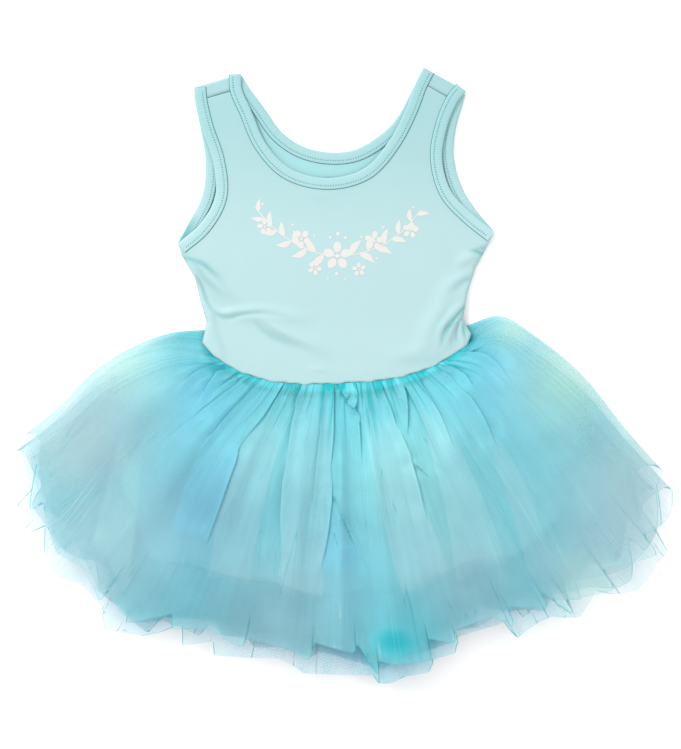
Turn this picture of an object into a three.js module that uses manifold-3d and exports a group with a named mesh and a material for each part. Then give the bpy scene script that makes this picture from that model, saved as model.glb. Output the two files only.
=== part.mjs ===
// A child's sleeveless ballet dress, laid flat on its back and seen from above.
// Millimetres. +X runs across the dress, +Y towards the shoulders and +Z up from the surface it lies on.
// The bodice is a back panel that folds over the shoulders to meet a front panel, with a band bound over
// the neck and armhole edges. The skirt is a short lining and three tiers of gathered tulle, each one a
// tube that lies flattened inside the next.
import * as THREE from "three";
import { mergeVertices } from "three/addons/utils/BufferGeometryUtils.js";
import Module from "manifold-3d";

const wasm = await Module();
wasm.setup();

// Driving dimensions
const JERSEY = 1.2; // wall of a bodice panel
const BAND = 1.0; // wall of a bound edge
const TULLE = 1.0; // wall of a tulle tier and of the lining
const SEAM_GAP = 0.4; // between pieces that are sewn to each other
const BAND_WIDTH = 10.5; // bound edge, from its fold to its stitched side
const BAND_LIP = 1.2; // the band's turn down over the raw edge
const PANEL_INSET = BAND_LIP + SEAM_GAP; // raw edge of a panel, in from the finished edge
const SHOULDER_Z = 2.9; // underside of the front panel above the surface
const FOLD_CLEARANCE = 1.6; // from a shoulder fold to the end of a band inside it
const STRAP_TURN = 12; // from a shoulder fold down the front to the shoulder seam
const WAIST_LIFT = 3.7; // how much higher the front panel is at the waist seam
const WAIST_LIFT_REACH = 60; // the lift dies away this far above the seam

// Finished edges of the bodice, a row for each point. The first row is on the shoulder fold and the second
// on the shoulder seam; the neck edges end with a seam row and a fold row too.
const FRONT_NECK = [
  { x: -92.7, y: 269.6 },
  { x: -92.2, y: 257.2 },
  { x: -84, y: 238 },
  { x: -70, y: 207 },
  { x: -48, y: 184.6 },
  { x: -14, y: 176.4 },
  { x: 18, y: 184.8 },
  { x: 40.3, y: 209.2 },
  { x: 55.5, y: 238 },
  { x: 64.5, y: 261.5 },
  { x: 71.6, y: 275.4 },
];
const BACK_NECK = [
  { x: -92.7, y: 269.6 },
  { x: -86.5, y: 259 },
  { x: -73, y: 240.7 },
  { x: -56, y: 217.5 },
  { x: -36.5, y: 204.6 },
  { x: -13, y: 199.3 },
  { x: 9, y: 201.5 },
  { x: 28, y: 211.6 },
  { x: 46, y: 228 },
  { x: 64, y: 260.5 },
  { x: 71.6, y: 275.4 },
];
const FRONT_ARM_LEFT = [
  { x: -135, y: 257.4 },
  { x: -133.8, y: 245 },
  { x: -128.2, y: 221 },
  { x: -118, y: 190 },
  { x: -116, y: 160 },
  { x: -129, y: 135.5 },
  { x: -149.9, y: 117 },
];
const BACK_ARM_LEFT = [
  { x: -135, y: 257.4 },
  { x: -134.2, y: 245 },
  { x: -129.2, y: 221 },
  { x: -124.6, y: 190 },
  { x: -127.6, y: 161 },
  { x: -138, y: 139 },
  { x: -149.9, y: 117 },
];
const FRONT_ARM_RIGHT = [
  { x: 109.8, y: 253.8 },
  { x: 102.4, y: 245 },
  { x: 93.4, y: 224 },
  { x: 88.4, y: 195 },
  { x: 95.9, y: 165.6 },
  { x: 113.5, y: 145.6 },
  { x: 135.5, y: 127.8 },
];
const BACK_ARM_RIGHT = [
  { x: 109.8, y: 253.8 },
  { x: 106.7, y: 242 },
  { x: 101, y: 222 },
  { x: 98.8, y: 196 },
  { x: 105.6, y: 169 },
  { x: 118.5, y: 148 },
  { x: 135.5, y: 127.8 },
];

// Side seams, from the underarm down to the waist.
const SIDE_LEFT = [
  { x: -145.8, y: 106.2 },
  { x: -134, y: 86.4 },
  { x: -129.6, y: 68 },
  { x: -123, y: 46 },
  { x: -127.5, y: 28 },
];
const SIDE_RIGHT = [
  { x: 129.5, y: 116 },
  { x: 118, y: 95 },
  { x: 111.2, y: 73 },
  { x: 106.5, y: 49 },
  { x: 114.5, y: 36 },
];

// Waist seam of each panel, from its left end to its right end. It dips below the line between the ends.
const WAIST_FRONT = { left: { x: -119, y: 17 }, right: { x: 113, y: 28 }, dip: 31 };
const WAIST_BACK = { left: { x: -120, y: 44 }, right: { x: 106, y: 44 }, dip: 20 };
const WAIST_DIP_POWER = 3; // how flat the dip's middle is

// Creases in the front panel, each from one point to another. A negative height is a trough.
const CREASES = [
  { x0: -143, y0: 101, x1: -101, y1: 67, width: 7, height: 2.2 },
  { x0: -134, y0: 80, x1: -104, y1: 50, width: 6, height: -0.9 },
  { x0: -112, y0: 54, x1: -38, y1: 50, width: 8, height: 1.6 },
  { x0: -67, y0: 47, x1: -17, y1: 20, width: 7, height: 1.8 },
  { x0: 106, y0: 62, x1: 90, y1: 26, width: 7, height: 2.4 },
  { x0: 98, y0: 84, x1: 72, y1: 26, width: 9, height: 1.5 },
  { x0: 119, y0: 108, x1: 103, y1: 99, width: 6, height: 1.4 },
];

const CREASE_RUN_OUT = 0.25; // share of its length that a crease runs on past its ends
const CREASE_FADE = 0.3; // and the share over which it fades inside them

// The longest hem, from the left side fold round to the right one. s is the place across the skirt.
const HEM = [
  { s: -1, x: -297, y: -63 },
  { s: -0.86, x: -291, y: -130 },
  { s: -0.74, x: -258, y: -173 },
  { s: -0.65, x: -234, y: -199 },
  { s: -0.56, x: -214, y: -226 },
  { s: -0.38, x: -146, y: -244 },
  { s: -0.2, x: -70, y: -259 },
  { s: 0, x: 2, y: -272 },
  { s: 0.14, x: 46, y: -276 },
  { s: 0.3, x: 98, y: -254 },
  { s: 0.46, x: 152, y: -230 },
  { s: 0.62, x: 210, y: -219 },
  { s: 0.76, x: 266, y: -192 },
  { s: 0.89, x: 294, y: -153 },
  { s: 1, x: 298, y: -100 },
];

// The skirt's side folds, from the back's waist seam down to the hem. They bow out above a straight line.
const SIDE_FOLD_LEFT = [
  { x: -120, y: 44 },
  { x: -155, y: 44 },
  { x: -190, y: 31 },
  { x: -224, y: 8 },
  { x: -258, y: -28 },
  { x: -297, y: -63 },
];
const SIDE_FOLD_RIGHT = [
  { x: 106, y: 44 },
  { x: 138, y: 57 },
  { x: 172, y: 37 },
  { x: 213, y: 2 },
  { x: 250, y: -45 },
  { x: 298, y: -100 },
];
const BOW_POWER = 2; // how fast the bow dies away from the side folds

// Main folds of the outer tier. waist and hem are places across the skirt, width is a share of half of it
// and height is how far the fold stands up where the skirt is fullest.
const FOLDS = [
  { waist: -0.9, hem: -0.8, width: 0.06, height: 5 },
  { waist: -0.66, hem: -0.6, width: 0.055, height: 7 },
  { waist: -0.43, hem: -0.4, width: 0.045, height: 9 },
  { waist: -0.21, hem: -0.15, width: 0.04, height: 8 },
  { waist: 0, hem: -0.02, width: 0.035, height: 10 },
  { waist: 0.16, hem: 0.16, width: 0.04, height: 7 },
  { waist: 0.33, hem: 0.38, width: 0.045, height: 10 },
  { waist: 0.55, hem: 0.5, width: 0.04, height: 8 },
  { waist: 0.74, hem: 0.68, width: 0.05, height: 6 },
  { waist: 0.9, hem: 0.84, width: 0.055, height: 8 },
];

const FOLD_WIDTH_AT_WAIST = 0.6;
const FOLD_WIDTH_AT_HEM = 1.1;

// Heights in the skirt, of the middle of a wall
const BACK_PITCH = 1.5; // between the back walls of one tier and the next
const FOLD_FROM = 0.93; // the side folds take up the rest of a tier's width
const WAIST_PITCH = 1.6; // between front walls beside the seam
const PUFF_PITCH = 8.4; // between front walls where the skirt is fullest
const HEM_PITCH = 5.2; // between front walls at the hem
const FULL_AT = 0.42; // where the skirt is fullest, as a share of its length
const SEAM_REACH = 0.05; // the outer tier climbs from the seam within this share of its length
const SIDE_RISE = 2; // of the side folds above the back walls, beside the seam
const SIDE_REACH = 0.3; // the side folds climb within this share
const SIDE_SINK = 0.35; // how much lower the fullness is at the sides
const LINING_FRONT_Z = 7.2;
const SEAM_FRONT_Z = SHOULDER_Z + WAIST_LIFT + JERSEY / 2;
const WAVE_UNEVEN = 0.9; // how far the tiers' own waves stray from even spacing, in radians
const WAVE_DRIFT = 5.1; // and how fast that changes across the skirt
const BACK_PHASE = 1.7; // sets the back's hem steps apart from the front's
const GATHER_HEIGHT = 1.8; // of the small gathers beside the seam
const GATHER_REACH = 0.16; // how far they run down the skirt, as a share of its length

// Tiers of the skirt, from the outside in. layer counts the front walls up from the lining. A tier starts
// and ends at from and reach, shares of the longest hem's reach, and its hem steps by step at its folds.
// spread and hemSpread are its widths at the waist and the hem, as shares of the outer tier's.
const TIERS = [
  {
    name: "tulle_outer",
    layer: 3,
    rows: [0, 0.02, 0.05, 0.1, 0.18, 0.3, 0.45, 0.62, 0.8, 1],
    columns: { front: 84, back: 22 },
    from: 0,
    reach: 0.965,
    step: 0.035,
    spread: 1,
    hemSpread: 1,
    folds: 12,
    phase: 0.4,
    wave: 4,
    colour: 0x8fdde2,
  },
  {
    name: "tulle_middle",
    layer: 2,
    rows: [0, 0.1, 0.28, 0.5, 0.75, 1],
    columns: { front: 44, back: 16 },
    from: SEAM_REACH,
    reach: 0.985,
    step: 0.03,
    spread: 0.962,
    hemSpread: 0.955,
    folds: 10,
    phase: 2.1,
    wave: 4.5,
    colour: 0x74c6e4,
  },
  {
    name: "tulle_inner",
    layer: 1,
    rows: [0, 0.1, 0.28, 0.5, 0.75, 1],
    columns: { front: 44, back: 16 },
    from: SEAM_REACH,
    reach: 0.955,
    step: 0.03,
    spread: 0.925,
    hemSpread: 0.9,
    folds: 9,
    phase: 4.3,
    wave: 4.5,
    colour: 0x9db9e0,
  },
  {
    name: "skirt_lining",
    layer: 0,
    rows: [0, 0.25, 0.5, 0.75, 1],
    columns: { front: 26, back: 12 },
    from: SEAM_REACH,
    reach: 0.68,
    step: 0.03,
    spread: 0.885,
    hemSpread: 0.66,
    folds: 7,
    phase: 1.2,
    wave: 0,
    colour: 0xcdeff0,
  },
];

const OUTER_LAYER = 3;

const BODICE_COLOUR = 0xbdeaea;
const BAND_COLOUR = 0xb5e8e8;
const CELL = 10; // grid of the front panel
const ABOVE_ALL = 20; // clear above every bodice piece, for cutters
const SAMPLES_PER_SPAN = 3; // of an edge curve, between two rows of its table

// Small functions on numbers and points
const mix = (a, b, t) => a + (b - a) * t;
function smooth(from, to, value) {
  const t = Math.min(1, Math.max(0, (value - from) / (to - from)));
  return t * t * (3 - 2 * t);
}
const along = (p, direction, length) => ({
  x: p.x + direction.x * length,
  y: p.y + direction.y * length,
});

// A mesh that any closed set of triangles gives
function namedMesh(name, geometry, colour, roughness) {
  const material = new THREE.MeshStandardMaterial({ color: colour, roughness, metalness: 0 });
  const mesh = new THREE.Mesh(geometry, material);
  mesh.name = name;
  return mesh;
}

function geometryOf(points, triangles) {
  const geometry = new THREE.BufferGeometry();
  const positions = points.flatMap((p) => [p.x, p.y, p.z]);
  geometry.setAttribute("position", new THREE.Float32BufferAttribute(positions, 3));
  geometry.setIndex(triangles.flat());
  geometry.computeVertexNormals();
  return geometry;
}

// Joins and cuts
function solidOf(geometry) {
  const bare = geometry.clone();
  bare.deleteAttribute("normal");
  bare.deleteAttribute("uv");
  const merged = mergeVertices(bare, 1e-4);
  return new wasm.Manifold(
    new wasm.Mesh({
      numProp: 3,
      vertProperties: new Float32Array(merged.attributes.position.array),
      triVerts: new Uint32Array(merged.index.array),
    }),
  );
}

function geometryOfSolid(solid) {
  const { vertProperties, triVerts } = solid.getMesh();
  const geometry = new THREE.BufferGeometry();
  geometry.setAttribute("position", new THREE.Float32BufferAttribute(vertProperties, 3));
  geometry.setIndex([...triVerts]);
  geometry.computeVertexNormals();
  return geometry;
}

// A wall round a grid of points in its middle. grid[row][column]; a closed grid joins its last column to
// its first. The right-hand side of rows crossed with columns is the outside.
function wall(grid, thickness, closed) {
  const rows = grid.length;
  const columns = grid[0].length;
  const at = (row, column) => {
    const wrapped = closed ? (column + columns) % columns : Math.min(columns - 1, Math.max(0, column));
    return grid[Math.min(rows - 1, Math.max(0, row))][wrapped];
  };
  const outer = [];
  const inner = [];
  for (let row = 0; row < rows; row++) {
    for (let column = 0; column < columns; column++) {
      const down = at(row + 1, column).clone().sub(at(row - 1, column));
      const across = at(row, column + 1).clone().sub(at(row, column - 1));
      const normal = down.cross(across).normalize().multiplyScalar(thickness / 2);
      outer.push(at(row, column).clone().add(normal));
      inner.push(at(row, column).clone().sub(normal));
    }
  }
  const count = rows * columns;
  const index = (row, column) => row * columns + (column % columns);
  const triangles = [];
  const quad = (a, b, c, d) => triangles.push([a, b, c], [a, c, d]);
  const spans = closed ? columns : columns - 1;
  for (let row = 0; row + 1 < rows; row++) {
    for (let column = 0; column < spans; column++) {
      const corners = [
        index(row, column),
        index(row + 1, column),
        index(row + 1, column + 1),
        index(row, column + 1),
      ];
      quad(...corners);
      quad(...corners.map((corner) => corner + count).reverse());
    }
  }
  for (let column = 0; column < spans; column++) {
    const top = [index(0, column), index(0, column + 1)];
    const bottom = [index(rows - 1, column), index(rows - 1, column + 1)];
    quad(top[0], top[1], top[1] + count, top[0] + count);
    quad(bottom[1], bottom[0], bottom[0] + count, bottom[1] + count);
  }
  if (!closed) {
    for (let row = 0; row + 1 < rows; row++) {
      const left = [index(row, 0), index(row + 1, 0)];
      const right = [index(row, columns - 1), index(row + 1, columns - 1)];
      quad(left[1], left[0], left[0] + count, left[1] + count);
      quad(right[0], right[1], right[1] + count, right[0] + count);
    }
  }
  return geometryOf([...outer, ...inner], triangles);
}

function curveOf(rows) {
  const points = rows.map((row) => new THREE.Vector3(row.x, row.y, 0));
  return new THREE.CatmullRomCurve3(points, false, "centripetal");
}

// Edges of the bodice. Each sample has the direction into the cloth, which is on the side that turn says.
function edgeOf(rows, turn) {
  const curve = curveOf(rows);
  const count = (rows.length - 1) * SAMPLES_PER_SPAN;
  return Array.from({ length: count + 1 }, (_, i) => {
    const p = curve.getPoint(i / count);
    const tangent = curve.getTangent(i / count);
    return { x: p.x, y: p.y, inward: { x: -tangent.y * turn, y: tangent.x * turn } };
  });
}
const INTO_RIGHT_SIDE = -1; // of someone walking along the table
const INTO_LEFT_SIDE = 1;
const edges = {
  frontNeck: edgeOf(FRONT_NECK, INTO_RIGHT_SIDE),
  backNeck: edgeOf(BACK_NECK, INTO_RIGHT_SIDE),
  frontArmLeft: edgeOf(FRONT_ARM_LEFT, INTO_LEFT_SIDE),
  backArmLeft: edgeOf(BACK_ARM_LEFT, INTO_LEFT_SIDE),
  frontArmRight: edgeOf(FRONT_ARM_RIGHT, INTO_RIGHT_SIDE),
  backArmRight: edgeOf(BACK_ARM_RIGHT, INTO_RIGHT_SIDE),
};
const rawEdge = (edge) => edge.map((p) => along(p, p.inward, PANEL_INSET));

// Waist seam at s, from -1 at the left end to 1 at the right end.
function waist(s, { left, right, dip }) {
  const t = (s + 1) / 2;
  return {
    x: mix(left.x, right.x, t),
    y: mix(left.y, right.y, t) - dip * (1 - Math.abs(s) ** WAIST_DIP_POWER),
  };
}
const WAIST_SAMPLES = 20;
const WAIST_CLEARANCE = SEAM_GAP + TULLE / 2; // from the seam line up to a panel's raw edge
const waistEdge = (seam) =>
  Array.from({ length: WAIST_SAMPLES + 1 }, (_, i) => {
    const s = -1 + (2 * i) / WAIST_SAMPLES;
    const [before, p, after] = [s - 0.01, s, s + 0.01].map((at) => waist(at, seam));
    const length = Math.hypot(after.x - before.x, after.y - before.y);
    const up = { x: -(after.y - before.y) / length, y: (after.x - before.x) / length };
    return along(p, up, WAIST_CLEARANCE);
  });

// A panel's outline, anticlockwise from its left underarm, with straps that end at the row given.
function panelOutline(neck, armLeft, armRight, sideLeft, sideRight, seam, strapEnd) {
  const arm = { left: rawEdge(armLeft).slice(strapEnd), right: rawEdge(armRight).slice(strapEnd) };
  const scoop = rawEdge(neck).slice(strapEnd, neck.length - strapEnd);
  return [
    ...sideLeft,
    ...waistEdge(seam),
    ...sideRight.toReversed(),
    ...arm.right.toReversed(),
    ...scoop.toReversed(),
    ...arm.left,
  ];
}

function prism(outline, from, to) {
  const shape = new THREE.Shape(outline.map((p) => new THREE.Vector2(p.x, p.y)));
  return new THREE.ExtrudeGeometry(shape, { depth: to - from, bevelEnabled: false }).translate(0, 0, from);
}

// Underside of the front panel
function frontUnderside(x, y) {
  const s = ((x - WAIST_FRONT.left.x) / (WAIST_FRONT.right.x - WAIST_FRONT.left.x)) * 2 - 1;
  const seam = waist(Math.min(1, Math.max(-1, s)), WAIST_FRONT);
  let z = SHOULDER_Z + WAIST_LIFT * (1 - smooth(seam.y, seam.y + WAIST_LIFT_REACH, y));
  for (const crease of CREASES) {
    const run = { x: crease.x1 - crease.x0, y: crease.y1 - crease.y0 };
    const length = Math.hypot(run.x, run.y);
    const t = ((x - crease.x0) * run.x + (y - crease.y0) * run.y) / length ** 2;
    const off = Math.abs((x - crease.x0) * run.y - (y - crease.y0) * run.x) / length;
    const start = smooth(-CREASE_RUN_OUT, CREASE_FADE, t);
    const end = 1 - smooth(1 - CREASE_FADE, 1 + CREASE_RUN_OUT, t);
    z += crease.height * start * end * Math.exp(-((off / crease.width) ** 2));
  }
  return z;
}

function frontPanel() {
  const outline = panelOutline(
    edges.frontNeck,
    edges.frontArmLeft,
    edges.frontArmRight,
    SIDE_LEFT,
    SIDE_RIGHT,
    WAIST_FRONT,
    SAMPLES_PER_SPAN,
  );
  const box = new THREE.Box2().setFromPoints(outline.map((p) => new THREE.Vector2(p.x, p.y)));
  const columns = Math.ceil((box.max.x - box.min.x) / CELL) + 2;
  const rows = Math.ceil((box.max.y - box.min.y) / CELL) + 2;
  const grid = Array.from({ length: rows + 1 }, (_, row) =>
    Array.from({ length: columns + 1 }, (_, column) => {
      const x = box.min.x + (column - 1) * CELL;
      const y = box.max.y - (row - 1) * CELL;
      return new THREE.Vector3(x, y, frontUnderside(x, y) + JERSEY / 2);
    }),
  );
  const sheet = solidOf(wall(grid, JERSEY, false));
  const cutter = solidOf(prism(outline, 0, ABOVE_ALL));
  return namedMesh("front_panel", geometryOfSolid(sheet.intersect(cutter)), BODICE_COLOUR, 0.6);
}

// The back panel's strap runs over the shoulder fold and down to the shoulder seam. neck and arm are the
// finished edges' samples from the fold to the seam, on each side of the panel.
function strapFold(backNeck, backArm, frontNeck, frontArm) {
  const radius = (SHOULDER_Z + JERSEY) / 2 - JERSEY / 2;
  const middle = (SHOULDER_Z + JERSEY) / 2;
  const last = SAMPLES_PER_SPAN;
  const inset = (p) => along(p, p.inward, PANEL_INSET);
  const section = (neck, arm, share, depth, z) => {
    const row = Math.min(last - 1, Math.floor(share * last));
    const part = share * last - row;
    const place = (edge) => {
      const a = inset(edge[row]);
      const b = inset(edge[row + 1]);
      const fold = inset(edge[0]);
      const seam = inset(edge[last]);
      const length = Math.hypot(seam.x - fold.x, seam.y - fold.y);
      const back = { x: (seam.x - fold.x) / length, y: (seam.y - fold.y) / length };
      const on = { x: mix(a.x, b.x, part), y: mix(a.y, b.y, part) };
      return along(on, back, depth);
    };
    const [from, to] = [place(arm), place(neck)];
    return [0, 0.5, 1].map((t) => new THREE.Vector3(mix(from.x, to.x, t), mix(from.y, to.y, t), z));
  };
  const seamShare = 1 - SEAM_GAP / STRAP_TURN;
  const sections = [1, 0.5].map((share) => section(backNeck, backArm, share, radius, middle - radius));
  for (const turn of [-90, -60, -30, 0, 30, 60, 90]) {
    const angle = THREE.MathUtils.degToRad(turn);
    const depth = radius * (1 - Math.cos(angle));
    const [neck, arm] = turn > 0 ? [frontNeck, frontArm] : [backNeck, backArm];
    sections.push(section(neck, arm, 0, depth, middle + radius * Math.sin(angle)));
  }
  for (const share of [0.5, seamShare]) {
    sections.push(section(frontNeck, frontArm, share, 0, middle + radius));
  }
  return sections;
}

function backPanel() {
  const outline = panelOutline(
    edges.backNeck,
    edges.backArmLeft,
    edges.backArmRight,
    SIDE_LEFT.slice(0, -2),
    SIDE_RIGHT.slice(0, -2),
    WAIST_BACK,
    SAMPLES_PER_SPAN - 1,
  );
  let solid = solidOf(prism(outline, 0, JERSEY));
  const fromFold = (edge) => edge.slice(0, SAMPLES_PER_SPAN + 1);
  const fromEnd = (edge) => edge.toReversed().slice(0, SAMPLES_PER_SPAN + 1);
  const straps = [
    strapFold(
      fromFold(edges.backNeck),
      fromFold(edges.backArmLeft),
      fromFold(edges.frontNeck),
      fromFold(edges.frontArmLeft),
    ),
    strapFold(
      fromEnd(edges.backNeck),
      fromFold(edges.backArmRight),
      fromEnd(edges.frontNeck),
      fromFold(edges.frontArmRight),
    ).map((row) => row.toReversed()),
  ];
  for (const sections of straps) solid = solid.add(solidOf(wall(sections, JERSEY, false)));
  return namedMesh("back_panel", geometryOfSolid(solid), BODICE_COLOUR, 0.6);
}

// The same edge, stopped short of the shoulder folds at the ends that are named
function shortOfFold(edge, { first, last }) {
  const trimmed = edge.map((p) => ({ ...p }));
  const pull = (end, next) => {
    const length = Math.hypot(next.x - end.x, next.y - end.y);
    end.x = mix(end.x, next.x, FOLD_CLEARANCE / length);
    end.y = mix(end.y, next.y, FOLD_CLEARANCE / length);
  };
  if (first) pull(trimmed[0], trimmed[1]);
  if (last) pull(trimmed.at(-1), trimmed.at(-2));
  return trimmed;
}

// A bound edge: a flat band on the panel, with a lip that turns down over the raw edge. panelBottom gives
// the height of the panel's underside.
function boundEdge(name, edge, panelBottom) {
  const sections = edge.map((p) => {
    const at = (depth, z) => {
      const q = along(p, p.inward, depth);
      return new THREE.Vector3(q.x, q.y, z);
    };
    const base = panelBottom(p.x, p.y);
    const under = (depth) => {
      const q = along(p, p.inward, depth);
      return panelBottom(q.x, q.y) + JERSEY + SEAM_GAP;
    };
    return [
      at(0, base),
      at(BAND_LIP, base),
      at(BAND_LIP, under(BAND_LIP)),
      at(BAND_WIDTH, under(BAND_WIDTH)),
      at(BAND_WIDTH, under(BAND_WIDTH) + BAND),
      at(0, under(0) + BAND),
    ];
  });
  const corners = sections[0].length;
  const triangles = [];
  const last = (sections.length - 1) * corners;
  for (let i = 0; i + 1 < sections.length; i++) {
    for (let j = 0; j < corners; j++) {
      const next = (j + 1) % corners;
      const [a, b] = [i * corners + j, i * corners + next];
      triangles.push([a, b, b + corners], [a, b + corners, a + corners]);
    }
  }
  const cap = [
    [0, 2, 1],
    [0, 5, 2],
    [5, 3, 2],
    [5, 4, 3],
  ];
  for (const [a, b, c] of cap) triangles.push([a, b, c], [last + a, last + c, last + b]);
  const geometry = geometryOf(sections.flat(), triangles);
  if (solidOf(geometry).volume() < 0) {
    geometry.setIndex(triangles.flatMap(([a, b, c]) => [a, c, b]));
    geometry.computeVertexNormals();
  }
  return namedMesh(name, geometry, BAND_COLOUR, 0.65);
}

// The skirt's plan. s is the place across it and r the share of the way from the waist to the longest hem.
const hemCurve = curveOf(HEM);
const sideCurves = { left: curveOf(SIDE_FOLD_LEFT), right: curveOf(SIDE_FOLD_RIGHT) };
function hemAt(s) {
  const next = Math.max(1, HEM.findIndex((row) => row.s >= s - 1e-9));
  const before = next - 1;
  const t = (s - HEM[before].s) / (HEM[next].s - HEM[before].s);
  return hemCurve.getPoint((before + t) / (HEM.length - 1));
}
function plan(s, r, towardsBack) {
  const [front, back] = [waist(s, WAIST_FRONT), waist(s, WAIST_BACK)];
  const hem = hemAt(s);
  const curve = s < 0 ? sideCurves.left : sideCurves.right;
  const on = curve.getPoint(Math.min(1, r));
  const [from, to] = [curve.getPoint(0), curve.getPoint(1)];
  const bow = Math.abs(s) ** BOW_POWER;
  const place = (axis) => {
    const top = mix(front[axis], back[axis], towardsBack);
    return mix(top, hem[axis], r) + bow * (on[axis] - mix(from[axis], to[axis], Math.min(1, r)));
  };
  return { x: place("x"), y: place("y") };
}

// Heights of the skirt's walls. The pitch between front walls grows from the seam to the fullest place.
function pitch(s, r) {
  const full =
    r < FULL_AT
      ? mix(WAIST_PITCH, PUFF_PITCH, smooth(SEAM_REACH, FULL_AT, r))
      : mix(PUFF_PITCH, HEM_PITCH, smooth(FULL_AT, 1, r));
  return WAIST_PITCH + (full - WAIST_PITCH) * (1 - SIDE_SINK * s * s);
}
function foldWave(tier, s) {
  const uneven = WAVE_UNEVEN * Math.sin(WAVE_DRIFT * s + tier.phase);
  return 0.5 + 0.5 * Math.cos(Math.PI * tier.folds * s + uneven + tier.phase);
}
function mainFolds(s, r) {
  return FOLDS.reduce((sum, fold) => {
    const width = fold.width * mix(FOLD_WIDTH_AT_WAIST, FOLD_WIDTH_AT_HEM, r);
    const off = (s - mix(fold.waist, fold.hem, r)) / width;
    return sum + fold.height * Math.exp(-off * off);
  }, 0);
}
function hemStep(tier, s, half) {
  const turns = (tier.folds / 2) * s + tier.phase * (half === "front" ? 1 : BACK_PHASE);
  return 2 * (turns - Math.floor(turns)) - 1;
}

// Columns round one tier: over the front from the left side fold to the right one, and back underneath.
// rise is 0 on the side fold's outermost line and 1 where the cloth lies flat.
function ringColumns({ front, back }) {
  const fold = [0, 30, 60].map((turn) => {
    const angle = THREE.MathUtils.degToRad(turn);
    return { s: FOLD_FROM + (1 - FOLD_FROM) * Math.cos(angle), rise: Math.sin(angle), gather: 0 };
  });
  const flat = (count, half) =>
    Array.from({ length: count + 1 }, (_, i) => ({
      s: FOLD_FROM * (-1 + (2 * i) / count),
      rise: 1,
      gather: i % 2,
      half,
    }));
  const side = (sign, half) => fold.map((column) => ({ ...column, s: column.s * sign, half }));
  return [
    ...side(-1, "front"),
    ...flat(front, "front"),
    ...side(1, "front").toReversed(),
    ...side(1, "back").slice(1),
    ...flat(back, "back").toReversed(),
    ...side(-1, "back").slice(1).toReversed(),
  ];
}

// Height of a front wall's middle. Only the outer tier has the main folds, and gathers beside the seam.
function frontHeight(tier, column, s, r) {
  const gap = pitch(s, r);
  const full = (gap - WAIST_PITCH) / (PUFF_PITCH - WAIST_PITCH);
  const outermost = tier.layer === OUTER_LAYER;
  const folds = outermost ? full * mainFolds(s, r) : 0;
  const gather = outermost ? GATHER_HEIGHT * column.gather * Math.exp(-((r / GATHER_REACH) ** 2)) : 0;
  const flat = mix(SEAM_FRONT_Z, LINING_FRONT_Z + tier.layer * gap, smooth(0, SEAM_REACH, r));
  return flat + tier.wave * full * foldWave(tier, s) + folds + gather;
}

// One tier: a flattened tube, as the middle of its wall. The outer tier's back is sewn to the back panel,
// and the others hang from the front's seam line all round.
function tierGrid(tier) {
  const backZ = TULLE / 2 + BACK_PITCH * (OUTER_LAYER - tier.layer);
  const seamFoldZ = backZ + SIDE_RISE;
  const fullFoldZ = (LINING_FRONT_Z + TULLE / 2 + BACK_PITCH * OUTER_LAYER) / 2;
  return tier.rows.map((share) =>
    ringColumns(tier.columns).map((column) => {
      const onFront = column.half === "front";
      const step = tier.step * hemStep(tier, column.s, column.half) * column.rise;
      const r = mix(tier.from, tier.reach + step * smooth(0.5, 1, share), share);
      const s = column.s * mix(tier.spread, tier.hemSpread, share);
      const onBackSeam = tier.layer === OUTER_LAYER && !(onFront && column.rise > 0);
      const place = plan(s, r, onBackSeam ? mix(0.5, 1, column.rise) : 0);
      const foldZ = mix(seamFoldZ, fullFoldZ, smooth(0, SIDE_REACH, r));
      const flatZ = onFront ? frontHeight(tier, column, s, r) : backZ;
      return new THREE.Vector3(place.x, place.y, mix(foldZ, flatZ, column.rise));
    }),
  );
}
const tierMesh = (tier) => namedMesh(tier.name, wall(tierGrid(tier), TULLE, true), tier.colour, 0.8);

// The dress
const dress = new THREE.Group();
const onSurface = () => 0;
dress.add(
  frontPanel(),
  backPanel(),
  boundEdge("neck_band_front", edges.frontNeck, frontUnderside),
  boundEdge("neck_band_back", shortOfFold(edges.backNeck, { first: true, last: true }), onSurface),
  boundEdge("arm_band_left_front", edges.frontArmLeft, frontUnderside),
  boundEdge("arm_band_left_back", shortOfFold(edges.backArmLeft, { first: true }), onSurface),
  boundEdge("arm_band_right_front", edges.frontArmRight, frontUnderside),
  boundEdge("arm_band_right_back", shortOfFold(edges.backArmRight, { first: true }), onSurface),
  ...TIERS.map(tierMesh),
);
export default dress;
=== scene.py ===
"""A child's ballet dress, laid flat: jersey bodice, bound edges, a short lining and three tiers of tulle."""

import math
import random

import bpy
import numpy as np
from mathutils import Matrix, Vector
from mathutils.geometry import delaunay_2d_cdt


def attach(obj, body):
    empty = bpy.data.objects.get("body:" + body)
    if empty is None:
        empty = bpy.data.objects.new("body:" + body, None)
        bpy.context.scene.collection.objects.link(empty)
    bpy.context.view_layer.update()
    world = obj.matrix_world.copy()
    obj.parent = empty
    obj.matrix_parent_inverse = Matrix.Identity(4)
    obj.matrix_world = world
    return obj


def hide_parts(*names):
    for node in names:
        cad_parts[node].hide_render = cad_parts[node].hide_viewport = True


bl_info = {
    "name": "Ballet dress",
    "version": (1, 0, 0),
    "blender": (4, 5, 0),
    "location": "3D View > Sidebar > Dress",
    "description": "Dresses the ballet dress part with its cloth, bindings, stitches, print and tulle",
    "category": "Object",
}

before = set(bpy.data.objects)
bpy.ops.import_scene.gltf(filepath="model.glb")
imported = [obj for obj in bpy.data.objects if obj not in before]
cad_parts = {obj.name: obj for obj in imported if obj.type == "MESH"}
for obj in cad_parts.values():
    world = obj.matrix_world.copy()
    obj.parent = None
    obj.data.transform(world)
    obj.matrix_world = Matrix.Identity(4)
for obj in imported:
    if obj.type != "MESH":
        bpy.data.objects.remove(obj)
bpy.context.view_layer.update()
MM = 0.001

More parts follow.
